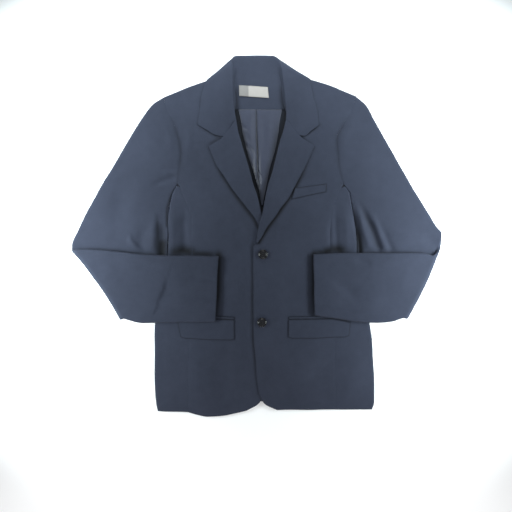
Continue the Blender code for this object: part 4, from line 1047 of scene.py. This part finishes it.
def mixed_colours(tree, share, first, second):
    """Mix two colours by a socket; the first may be a socket too."""
    node = add_node(tree, "ShaderNodeMix", {"data_type": "RGBA"})
    tree.links.new(share, node.inputs[0])
    if isinstance(first, bpy.types.NodeSocket):
        tree.links.new(first, node.inputs[6])
    else:
        node.inputs[6].default_value = (*first, 1.0)
    node.inputs[7].default_value = (*second, 1.0)
    return node.outputs[2]


def twill_group():
    """Weave of fine diagonal ribs, from a map in metres: its height and a shade for threads."""
    group, given, made = shader_group(
        "Twill weave",
        [("Map", "NodeSocketVector", None), ("Ribs per metre", "NodeSocketFloat", 900.0),
         ("Slant", "NodeSocketFloat", 1.0)], ("Height", "Shade"))
    apart = add_node(group, "ShaderNodeSeparateXYZ")
    threads = add_node(group, "ShaderNodeTexNoise", Scale=700.0, Detail=2.0)
    slanted = add_maths(group, "MULTIPLY", apart.outputs["Y"], given.outputs["Slant"])
    diagonal = add_maths(group, "ADD", apart.outputs["X"], slanted)
    turn = add_maths(group, "MULTIPLY", given.outputs["Ribs per metre"], 2.0 * math.pi)
    rib, thread = (add_maths(group, "SINE", add_maths(group, "MULTIPLY", way, turn), 0.0)
                   for way in (diagonal, apart.outputs["Y"]))
    height = add_maths(group, "ADD", add_maths(group, "MULTIPLY_ADD", rib, 0.4, 0.5),
                       add_maths(group, "MULTIPLY", thread, 0.1))
    join(group, (given.outputs["Map"], apart.inputs[0]),
         (given.outputs["Map"], threads.inputs["Vector"]),
         (height, made.inputs["Height"]), (threads.outputs[0], made.inputs["Shade"]))
    return group


def mottle_group():
    """Slow unevenness of a dyed cloth: a shade at the width of a hand and one of a finger."""
    group, given, made = shader_group(
        "Cloth mottle",
        [("Place", "NodeSocketVector", None), ("Wide", "NodeSocketFloat", 9.0),
         ("Close", "NodeSocketFloat", 70.0)], ("Shade",))
    wide = add_node(group, "ShaderNodeTexNoise", Detail=2.0)
    close = add_node(group, "ShaderNodeTexNoise", Detail=3.0)
    for node, label in ((wide, "Wide"), (close, "Close")):
        join(group, (given.outputs["Place"], node.inputs["Vector"]),
             (given.outputs[label], node.inputs["Scale"]))
    join(group, (mixed(group, 0.4, wide.outputs[0], close.outputs[0]), made.inputs["Shade"]))
    return group


def add_group(tree, name, build, **values):
    """Place a node group, which is built once."""
    group = bpy.data.node_groups.get(name) or build()
    return add_node(tree, "ShaderNodeGroup", {"node_tree": group}, **values)


def blank_material(name):
    """Start a material; return it with its tree and its shader."""
    material = bpy.data.materials.new(name)
    material.use_nodes = True
    return material, material.node_tree, material.node_tree.nodes["Principled BSDF"]


def cloth_material(slot):
    """Return a slot's woven cloth, with its ribs in its bump and its roughness, made once."""
    name, roughness, ribs, slant, rib_height, sheen, specular, brushed = CLOTHS[slot]
    if name in bpy.data.materials:
        return bpy.data.materials[name]
    colours = bpy.context.scene.blazer_cloth
    dark, light = getattr(colours, f"{slot}_dark"), getattr(colours, f"{slot}_light")
    material, tree, shader = blank_material(name)
    chart = add_node(tree, "ShaderNodeUVMap", {"uv_map": "cloth"}).outputs["UV"]
    place = add_node(tree, "ShaderNodeTexCoord").outputs["Object"]
    # The shade painted on the piece, read from its attribute
    pressed = add_node(tree, "ShaderNodeAttribute", {"attribute_name": "pressed"}).outputs["Fac"]
    weave = add_group(tree, "Twill weave", twill_group, Ribs_per_metre=ribs, Slant=slant)
    mottle = add_group(tree, "Cloth mottle", mottle_group)
    bump = add_node(tree, "ShaderNodeBump", Strength=0.35, Distance=rib_height)
    both = mixed(tree, 0.35, mottle.outputs["Shade"], weave.outputs["Shade"])
    shade = ranged(tree, both, From_Min=0.3, From_Max=0.7)
    colour = mixed_colours(tree, shade, dark, light)
    # Painted shade: darken the colour along edges and in the painted shadows
    colour = mixed_colours(tree, pressed, colour, [PAINTED_SHADE_DARKEST * part for part in dark])
    if slot == "label":
        apart = add_node(tree, "ShaderNodeSeparateXYZ")
        tree.links.new(chart, apart.inputs[0])
        block = ranged(tree, apart.outputs["X"], From_Min=0.0195, From_Max=0.0205, To_Min=0.55,
                       To_Max=0.0)
        colour = mixed_colours(tree, block, colour, colours.label_block)
    rough = ranged(tree, weave.outputs["Height"], To_Min=roughness - 0.06, To_Max=roughness + 0.06)
    join(tree, (chart, weave.inputs["Map"]), (place, mottle.inputs["Place"]),
         (colour, shader.inputs["Base Color"]), (rough, shader.inputs["Roughness"]),
         (weave.outputs["Height"], bump.inputs["Height"]),
         (bump.outputs["Normal"], shader.inputs["Normal"]))
    set_inputs(shader, Sheen_Weight=sheen, Sheen_Roughness=0.45, Specular_IOR_Level=specular,
               Anisotropic=brushed)
    return material


def button_material():
    """Return the buttons' glossy dark resin, faintly marbled."""
    if "Button resin" in bpy.data.materials:
        return bpy.data.materials["Button resin"]
    material, tree, shader = blank_material("Button resin")
    resin = bpy.context.scene.blazer_cloth.button
    place = add_node(tree, "ShaderNodeTexCoord")
    marble = add_node(tree, "ShaderNodeTexNoise", Scale=260.0, Detail=4.0, Distortion=1.5)
    colour = mixed_colours(tree, marble.outputs[0], resin, [2.2 * part for part in resin])
    rough = ranged(tree, marble.outputs[0], To_Min=0.10, To_Max=0.24)
    join(tree, (place.outputs["Object"], marble.inputs["Vector"]),
         (colour, shader.inputs["Base Color"]), (rough, shader.inputs["Roughness"]))
    set_inputs(shader, Coat_Weight=0.3, Coat_Roughness=0.05)
    return material


def thread_material():
    """Return the buttons' dark thread."""
    if "Button thread" in bpy.data.materials:
        return bpy.data.materials["Button thread"]
    material, tree, shader = blank_material("Button thread")
    place = add_node(tree, "ShaderNodeTexCoord")
    twist = add_node(tree, "ShaderNodeTexWave", Scale=900.0, Distortion=1.0)
    colour = mixed_colours(tree, twist.outputs["Fac"], (0.02, 0.023, 0.03), (0.06, 0.065, 0.08))
    join(tree, (place.outputs["Object"], twist.inputs["Vector"]),
         (colour, shader.inputs["Base Color"]))
    set_inputs(shader, Roughness=0.6)
    return material


# Sizes and colours ----------------------------------------------------------------------------


def colour_of(name, description, default):
    """Return a colour for a property group."""
    return bpy.props.FloatVectorProperty(name=name, description=description, subtype="COLOR",
                                         size=3, min=0.0, max=1.0, default=default)


def distance_of(name, description, lowest, highest, default):
    """Return a distance in metres for a property group."""
    return bpy.props.FloatProperty(name=name, description=description, subtype="DISTANCE",
                                   min=lowest, max=highest, default=default)


def power_of(name, description, default):
    """Return a light's power in watts for a property group."""
    return bpy.props.FloatProperty(name=name, description=description, unit="POWER", min=0.0,
                                   max=500.0, default=default)


class BlazerCloth(bpy.types.PropertyGroup):
    """Colours of the blazer, and how strongly it is creased."""

    shell_dark: colour_of("Shell, dark", "Darker threads of the wool", (0.0195, 0.0235, 0.0385))
    shell_light: colour_of("Shell, light", "Lighter threads of the wool", (0.029, 0.0345, 0.055))
    lining_dark: colour_of("Lining, dark", "Darker threads of the satin", (0.019, 0.023, 0.041))
    lining_light: colour_of("Lining, light", "Lighter threads of the satin", (0.034, 0.04, 0.068))
    label_dark: colour_of("Label, dark", "Darker threads of the label", (0.282, 0.262, 0.248))
    label_light: colour_of("Label, light", "Lighter threads of the label", (0.36, 0.335, 0.318))
    label_block: colour_of("Label block", "Plain grey block at one end of the label",
                           (0.085, 0.086, 0.09))
    button: colour_of("Buttons", "Resin of the buttons", (0.004, 0.004, 0.005))
    cell: distance_of("Cell", "Size of the cloth's mesh cells", 0.002, 0.02, 0.0035)
    creases: bpy.props.FloatProperty(
        name="Creases", description="How strongly the cloth is creased", subtype="FACTOR", min=0.0,
        max=1.5, default=1.0)


class BlazerButtons(bpy.types.PropertyGroup):
    """Sizes of the buttons."""

    diameter: distance_of("Diameter", "Across a button", 0.01, 0.03, BUTTON_DIAMETER * MM)
    height: distance_of("Height", "From the cloth to a button's rim", 0.001, 0.01,
                        BUTTON_HEIGHT * MM)
    thread: distance_of("Thread", "Thickness of a bundle of thread", 0.0002, 0.002, 0.0009)


class BlazerStage(bpy.types.PropertyGroup):
    """Floor, lights and camera."""

    floor_colour: colour_of("Floor", "Colour of the floor", (0.9, 0.9, 0.9))
    sky: bpy.props.FloatProperty(
        name="Sky", description="Strength of the even light all round", min=0.0, max=4.0,
        default=0.285)
    side_power: power_of("Side lights", "Power of each side light", 3.5)
    top_power: power_of("Top light", "Power of the light beyond the collar", 1.9)
    low_power: power_of("Low light", "Power of the light below the hem", 1.5)
    camera_height: distance_of("Camera height", "Height of the camera over the floor", 0.5, 10.0,
                               2.6)
    view_width: distance_of("View width", "Width of what the camera sees at the cloth", 0.5, 3.0,
                            1.0752)
    view_low: distance_of("View middle", "How far the middle of the view lies below the origin",
                          -1.0, 1.0, 0.042)


# Pieces ---------------------------------------------------------------------------------------


def flat_cut(sheet):
    """Measure a sheet along its cloth, all round its folds: width, length and area, in metres."""
    middle = finer(finer(sheet, 0, CUT_CELL), 1, CUT_CELL)
    width, length = (round(lengths(middle, axis).max() * MM, 3) for axis in (1, 0))
    faces = np.cross(middle[1:, 1:] - middle[:-1, :-1], middle[1:, :-1] - middle[:-1, 1:])
    area = np.linalg.norm(faces, axis=-1).sum() / 2 * MM * MM
    return max(width, LEAST_CUT), max(length, LEAST_CUT), round(area, 5)


def add_cloth(node, sheet, slot="shell", wall=SHELL, seams=None, flush=None,
              up_at=(0.5, 0.5, 1.0), fold=None, move=drape, cell_share=1.0,
              pressed=0.25):
    """Make one piece of cloth in the place of its solid, and measure its flat cut."""
    scene = bpy.context.scene
    cell = scene.blazer_cloth.cell / MM * cell_share
    vertices, faces, chart, rim, sharp = wall_of_cloth(sheet, wall, cell, seams or {}, flush or {},
                                                       up_at, fold)
    # Painted shade along the rims and at the painted shadows, kept as an attribute for the colour
    shade = painted_shade_at(node, vertices, rim * pressed)
    vertices = move(vertices, scene.blazer_cloth.creases)
    vertices[:, 2] = np.maximum(vertices[:, 2], 0.0)
    mesh = bpy.data.meshes.new(f"{node}_cloth")
    mesh.from_pydata((vertices * MM).tolist(), [], faces.tolist())
    used = np.zeros(len(mesh.loops), np.int32)
    mesh.loops.foreach_get("vertex_index", used)
    mesh.uv_layers.new(name="cloth").data.foreach_set("uv", chart[used].ravel())
    mesh.attributes.new("pressed", "FLOAT", "POINT").data.foreach_set("value", shade)
    mesh.materials.append(cloth_material(slot))
    mesh.shade_smooth()
    ends = np.zeros(2 * len(mesh.edges), np.int32)
    mesh.edges.foreach_get("vertices", ends)
    edge_ids, sharp_ids = (np.sort(pairs.reshape(-1, 2), axis=1).astype(np.int64)
                           @ (len(vertices), 1) for pairs in (ends, sharp))
    mesh.edges.foreach_set("use_edge_sharp", np.isin(edge_ids, sharp_ids))
    piece = bpy.data.objects.new(f"{node}_cloth", mesh)
    scene.collection.objects.link(piece)
    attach(piece, "root")
    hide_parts(node)
    width, length, area = flat_cut(sheet)


class BLAZER_OT_back(bpy.types.Operator):
    """Make the back, which lies on the floor under everything"""

    bl_idname = "blazer.back"
    bl_label = "Back"

    def execute(self, context):
        add_cloth("back", back_sheet(), flush={"near": SEAM / 2, "far": SEAM / 2},
                  up_at=(0.5, 0.5, -1.0), cell_share=2.0)
        return {"FINISHED"}


class BLAZER_OT_fronts(bpy.types.Operator):
    """Make the two fronts, the left over the right"""

    bl_idname = "blazer.fronts"
    bl_label = "Fronts"

    def execute(self, context):
        right = front_sheet(FRONT_RIGHT_ROWS, LAPEL_RIGHT_ROWS, FRONT_RIGHT_SHOULDER, HEM_RIGHT,
                            front_right_z, -1)
        left = front_sheet(FRONT_LEFT_ROWS, LAPEL_LEFT_ROWS, FRONT_LEFT_SHOULDER, None,
                           front_left_z, 1)
        for node, sheet in (("front_right", right), ("front_left", left)):
            add_cloth(node, sheet, seams={"near": 0.25}, flush={"near": SEAM / 2})
        return {"FINISHED"}


class BLAZER_OT_sides(bpy.types.Operator):
    """Make the side panels, which wrap round the body's sides"""

    bl_idname = "blazer.sides"
    bl_label = "Side panels"

    def execute(self, context):
        for node, sheet in (("side_right", side_sheet(FRONT_RIGHT_ROWS, SIDE_RIGHT_ROWS, 1)),
                            ("side_left", side_sheet(FRONT_LEFT_ROWS, SIDE_LEFT_ROWS, -1))):
            add_cloth(node, sheet, seams={"near": 0.12},
                      flush={"near": SEAM / 2, "far": SEAM / 2}, up_at=(0.5, 0.1, 1.0))
        return {"FINISHED"}


class BLAZER_OT_lining(bpy.types.Operator):
    """Make the facing inside the back neck, the lining and the blank label"""

    bl_idname = "blazer.lining"
    bl_label = "Facing, lining and label"

    def execute(self, context):
        add_cloth("back_neck_facing", facing_sheet(), wall=FACING,
                  flush={"start": 0.1, "near": 0.1, "far": 0.1, "end": 0.2}, cell_share=0.8)
        add_cloth("lining_back", lining_sheet(), "lining", wall=LINING, move=lay_lining,
                  cell_share=0.5)
        add_cloth("label", four_corner_sheet(LABEL_CORNERS, 5, 4, label_z), "label", wall=LINING,
                  cell_share=0.6)
        return {"FINISHED"}


class BLAZER_OT_collar(bpy.types.Operator):
    """Make the collar, which folds over round the neck"""

    bl_idname = "blazer.collar"
    bl_label = "Collar"

    def execute(self, context):
        # Painted shade along the collar's edges
        add_cloth("collar", collar_sheet(), seams={"start": 0.15, "end": 0.15},
                  flush={"near": 0.1, "start": GORGE_GAP / 2, "end": GORGE_GAP / 2},
                  up_at=(0.1, 0.8, 1.0), cell_share=0.7, pressed=0.45)
        return {"FINISHED"}


class BLAZER_OT_lapels(bpy.types.Operator):
    """Make the turned lapels"""

    bl_idname = "blazer.lapels"
    bl_label = "Lapels"

    def execute(self, context):
        right = lapel_sheet(LAPEL_RIGHT_ROWS, NOTCH_RIGHT, front_right_z, 1)
        left = lapel_sheet(LAPEL_LEFT_ROWS, NOTCH_LEFT, front_left_z, -1)
        for side, sheet in (("right", right), ("left", left)):
            # Painted shade along the lapels' edges
            add_cloth(f"lapel_{side}", sheet, seams={"start": 0.15},
                      flush={"start": GORGE_GAP / 2}, up_at=(0.3, 0.2, 1.0), cell_share=0.7,
                      pressed=0.4)
        return {"FINISHED"}


class BLAZER_OT_pockets(bpy.types.Operator):
    """Make the breast pocket's welt and the hip pockets' flaps and jets"""

    bl_idname = "blazer.pockets"
    bl_label = "Pockets"

    def execute(self, context):
        for node, front, seams, sheet in (
                ("breast_welt", "front_left", {"end": 0.6},
                 four_corner_sheet(WELT_CORNERS, 6, 3, on_left)),
                ("flap_left", "front_left", {"start": 0.7},
                 flap_sheet(FLAP_LEFT_TOP, FLAP_LEFT_BOTTOM, on_left)),
                ("flap_right", "front_right", {"start": 0.7},
                 flap_sheet(FLAP_RIGHT_TOP, FLAP_RIGHT_BOTTOM, on_right)),
                ("jet_left", "front_left", {}, jet_sheet(FLAP_LEFT_TOP, on_left)),
                ("jet_right", "front_right", {}, jet_sheet(FLAP_RIGHT_TOP, on_right))):
            # Painted shade along the pockets' edges
            add_cloth(node, sheet, seams=seams, cell_share=0.6, pressed=0.7)
        return {"FINISHED"}


class BLAZER_OT_sleeves(bpy.types.Operator):
    """Make the sleeves, folded at the elbow so that the forearms lie over the fronts"""

    bl_idname = "blazer.sleeves"
    bl_label = "Sleeves"

    def execute(self, context):
        right = Sleeve(FRONT_RIGHT_ROWS, SIDE_RIGHT_ROWS, SLEEVE_RIGHT_UPPER, SLEEVE_RIGHT_ELBOW,
                       SLEEVE_RIGHT_FOREARM, -1)
        left = Sleeve(FRONT_LEFT_ROWS, SIDE_LEFT_ROWS, SLEEVE_LEFT_UPPER, SLEEVE_LEFT_ELBOW,
                      SLEEVE_LEFT_FOREARM, 1)
        seam = {"near": SLEEVE_SEAM / 2, "far": SLEEVE_SEAM / 2}
        for side, sleeve in (("right", right), ("left", left)):
            add_cloth(f"sleeve_{side}_top", sleeve.top_sheet(), seams={"start": 0.2, "far": 0.15},
                      flush={**seam, "start": SEAM / 2}, up_at=(0.1, 0.5, 1.0), fold=sleeve.fold)
            add_cloth(f"sleeve_{side}_under", sleeve.under_sheet(), flush=seam,
                      up_at=(0.1, 0.5, -1.0), fold=sleeve.fold)
        return {"FINISHED"}


class BLAZER_OT_buttons(bpy.types.Operator):
    """Make the buttons, dished and with four thread holes, and their thread"""

    bl_idname = "blazer.buttons"
    bl_label = "Buttons"

    def make_button(self, context, node, x, y, base):
        """Turn one button from a disc and cut its holes."""
        sizes = context.scene.blazer_buttons
        radius, height = sizes.diameter / 2, sizes.height
        bpy.ops.object.select_all(action="DESELECT")
        bpy.ops.mesh.primitive_cylinder_add(vertices=64, radius=radius, depth=height,
                                            location=(x * MM, y * MM, base + height / 2))
        button = context.object
        button.name = f"{node}_resin"
        bpy.ops.object.transform_apply(location=True, rotation=True, scale=True)
        bpy.ops.object.mode_set(mode="EDIT")
        bpy.ops.mesh.select_all(action="SELECT")
        bpy.ops.mesh.bevel(offset=height * 0.28, segments=5, affect="EDGES", profile=0.6)
        shape = bmesh.from_edit_mesh(button.data)
        for face in shape.faces:
            on_top = face.calc_center_median().z > base + height - 1e-5
            face.select_set(on_top and face.normal.z > 0.99)
        bmesh.update_edit_mesh(button.data)
        for inset, sunk in BUTTON_STEPS:
            bpy.ops.mesh.inset(thickness=radius * inset, depth=-height * sunk)
        bpy.ops.object.mode_set(mode="OBJECT")
        half = BUTTON_HOLE_SPREAD / 2
        for way_x, way_y in ((1, 1), (-1, 1), (-1, -1), (1, -1)):
            bpy.ops.mesh.primitive_cylinder_add(
                vertices=20, radius=BUTTON_HOLE / 2 * MM, depth=3 * height,
                location=((x + way_x * half) * MM, (y + way_y * half) * MM, base))
            drill = context.object
            cut = button.modifiers.new("hole", "BOOLEAN")
            cut.operation, cut.solver, cut.object = "DIFFERENCE", "EXACT", drill
            context.view_layer.objects.active = button
            bpy.ops.object.modifier_apply(modifier=cut.name)
            bpy.data.objects.remove(drill)
        bpy.ops.object.select_all(action="DESELECT")
        button.select_set(True)
        bpy.ops.object.shade_smooth_by_angle(angle=math.radians(35.0))
        button.data.materials.clear()
        button.data.materials.append(button_material())
        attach(button, "root")
        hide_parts(node)

    def sew(self, context, node, x, y, level):
        """Sew a button on with two bundles of thread, each a loop through two holes."""
        half = BUTTON_HOLE_SPREAD / 2
        loops = []
        for way in (-1, 1):
            bpy.ops.object.select_all(action="DESELECT")
            bpy.ops.mesh.primitive_torus_add(
                major_radius=half * MM, minor_radius=context.scene.blazer_buttons.thread / 2,
                major_segments=32, minor_segments=10, rotation=(math.radians(90.0), 0.0, 0.0),
                location=(x * MM, (y + way * half) * MM, level))
            loops.append(context.object)
            bpy.ops.object.transform_apply(location=True, rotation=True, scale=True)
            bpy.ops.object.mode_set(mode="EDIT")
            bpy.ops.mesh.select_all(action="SELECT")
            bpy.ops.transform.resize(value=(1.0, 1.0, THREAD_FLATTENING),
                                     center_override=(x * MM, y * MM, level))
            bpy.ops.object.mode_set(mode="OBJECT")
        for loop in loops:
            loop.select_set(True)
        context.view_layer.objects.active = loops[0]
        bpy.ops.object.join()
        thread = context.object
        thread.name = f"{node}_thread"
        bpy.ops.object.shade_smooth()
        thread.data.materials.clear()
        thread.data.materials.append(thread_material())
        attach(thread, "root")

    def execute(self, context):
        scene = context.scene
        for node, (x, y) in BUTTON_PLACES.items():
            level = float(front_left_z(np.array(x), np.array(y))) + SHELL / 2 + LAYER
            spot = drape(np.array([[x, y, level]]), scene.blazer_cloth.creases)[0]
            base = float(spot[2]) * MM
            self.make_button(context, node, x, y, base)
            self.sew(context, node, x, y, base + scene.blazer_buttons.height * THREAD_LEVEL)
        return {"FINISHED"}


class BLAZER_OT_stage(bpy.types.Operator):
    """Make the floor, the soft lights and the camera, which looks straight down"""

    bl_idname = "blazer.stage"
    bl_label = "Stage"

    def execute(self, context):
        scene, stage = context.scene, context.scene.blazer_stage
        bpy.ops.object.select_all(action="DESELECT")
        bpy.ops.mesh.primitive_plane_add(size=12.0, location=(0.0, 0.0, -0.0004))
        floor = context.object
        floor.name = "floor"
        bpy.ops.object.transform_apply(location=True)
        paper, _, shader = blank_material("Pale floor")
        set_inputs(shader, Base_Color=(*stage.floor_colour, 1.0), Roughness=0.9)
        floor.data.materials.append(paper)

        scene.world = bpy.data.worlds.new("Soft sky")
        scene.world.use_nodes = True
        set_inputs(scene.world.node_tree.nodes["Background"], Color=(0.94, 0.97, 1.0, 1.0),
                   Strength=stage.sky)
        for name, power, place, aim, width, spread_angle, colour in (
                ("light_left", stage.side_power, (-0.64, 0.03, 0.28), (-0.40, 0.03, 0.0), 0.8,
                 70.0, COOL),
                ("light_right", stage.side_power, (0.64, 0.03, 0.28), (0.40, 0.03, 0.0), 0.8,
                 70.0, COOL),
                ("light_top", stage.top_power, (0.0, 0.66, 0.28), (0.0, 0.42, 0.0), 0.7, 70.0,
                 COOL),
                ("light_low", stage.low_power, (0.0, -0.74, 0.30), (0.0, -0.50, 0.0), 1.3, 90.0,
                 (1.0, 1.0, 1.0))):
            light = bpy.data.lights.new(name, "AREA")
            light.shape = "RECTANGLE"
            light.size, light.size_y = width, 0.2
            light.energy, light.color, light.spread = power, colour, math.radians(spread_angle)
            lamp = bpy.data.objects.new(name, light)
            scene.collection.objects.link(lamp)
            lamp.location = place
            way = Vector(aim) - Vector(place)
            lamp.rotation_euler = way.to_track_quat("-Z", "Y").to_euler()

        view = bpy.data.cameras.new("camera")
        view.sensor_width = 36.0
        view.lens = view.sensor_width * (stage.camera_height - CLOTH_LEVEL) / stage.view_width
        view.clip_end = 50.0
        scene.camera = bpy.data.objects.new("camera", view)
        scene.collection.objects.link(scene.camera)
        scene.camera.location = (0.0, -stage.view_low, stage.camera_height)
        scene.view_settings.view_transform = "Standard"
        return {"FINISHED"}


class BLAZER_PT_panel(bpy.types.Panel):
    """Lists the blazer's pieces, sizes and colours"""

    bl_idname = "BLAZER_PT_panel"
    bl_label = "Laid blazer"
    bl_space_type = "VIEW_3D"
    bl_region_type = "UI"
    bl_category = "Blazer"

    def draw(self, context):
        layout, scene = self.layout, context.scene
        for piece in PIECES:
            layout.operator(piece.bl_idname)
        for owner in (scene.blazer_cloth, scene.blazer_buttons, scene.blazer_stage):
            box = layout.box()
            for name in owner.__annotations__:
                box.prop(owner, name)


GROUPS = {"blazer_cloth": BlazerCloth, "blazer_buttons": BlazerButtons, "blazer_stage": BlazerStage}
PIECES = (BLAZER_OT_stage, BLAZER_OT_back, BLAZER_OT_fronts, BLAZER_OT_sides, BLAZER_OT_lining,
          BLAZER_OT_collar, BLAZER_OT_lapels, BLAZER_OT_pockets, BLAZER_OT_sleeves,
          BLAZER_OT_buttons)


def register():
    """Register the classes and put the property groups on the scene."""
    for kind in (*GROUPS.values(), *PIECES, BLAZER_PT_panel):
        bpy.utils.register_class(kind)
    for name, group in GROUPS.items():
        setattr(bpy.types.Scene, name, bpy.props.PointerProperty(type=group))


def unregister():
    """Take the property groups off the scene and unregister the classes."""
    for name in GROUPS:
        delattr(bpy.types.Scene, name)
    for kind in reversed((*GROUPS.values(), *PIECES, BLAZER_PT_panel)):
        bpy.utils.unregister_class(kind)


def main():
    """Make every piece and the stage."""
    register()
    bpy.ops.blazer.stage()
    bpy.ops.blazer.back()
    bpy.ops.blazer.fronts()
    bpy.ops.blazer.sides()
    bpy.ops.blazer.lining()
    bpy.ops.blazer.collar()
    bpy.ops.blazer.lapels()
    bpy.ops.blazer.pockets()
    bpy.ops.blazer.sleeves()
    bpy.ops.blazer.buttons()


if __name__ == "__main__":
    main()
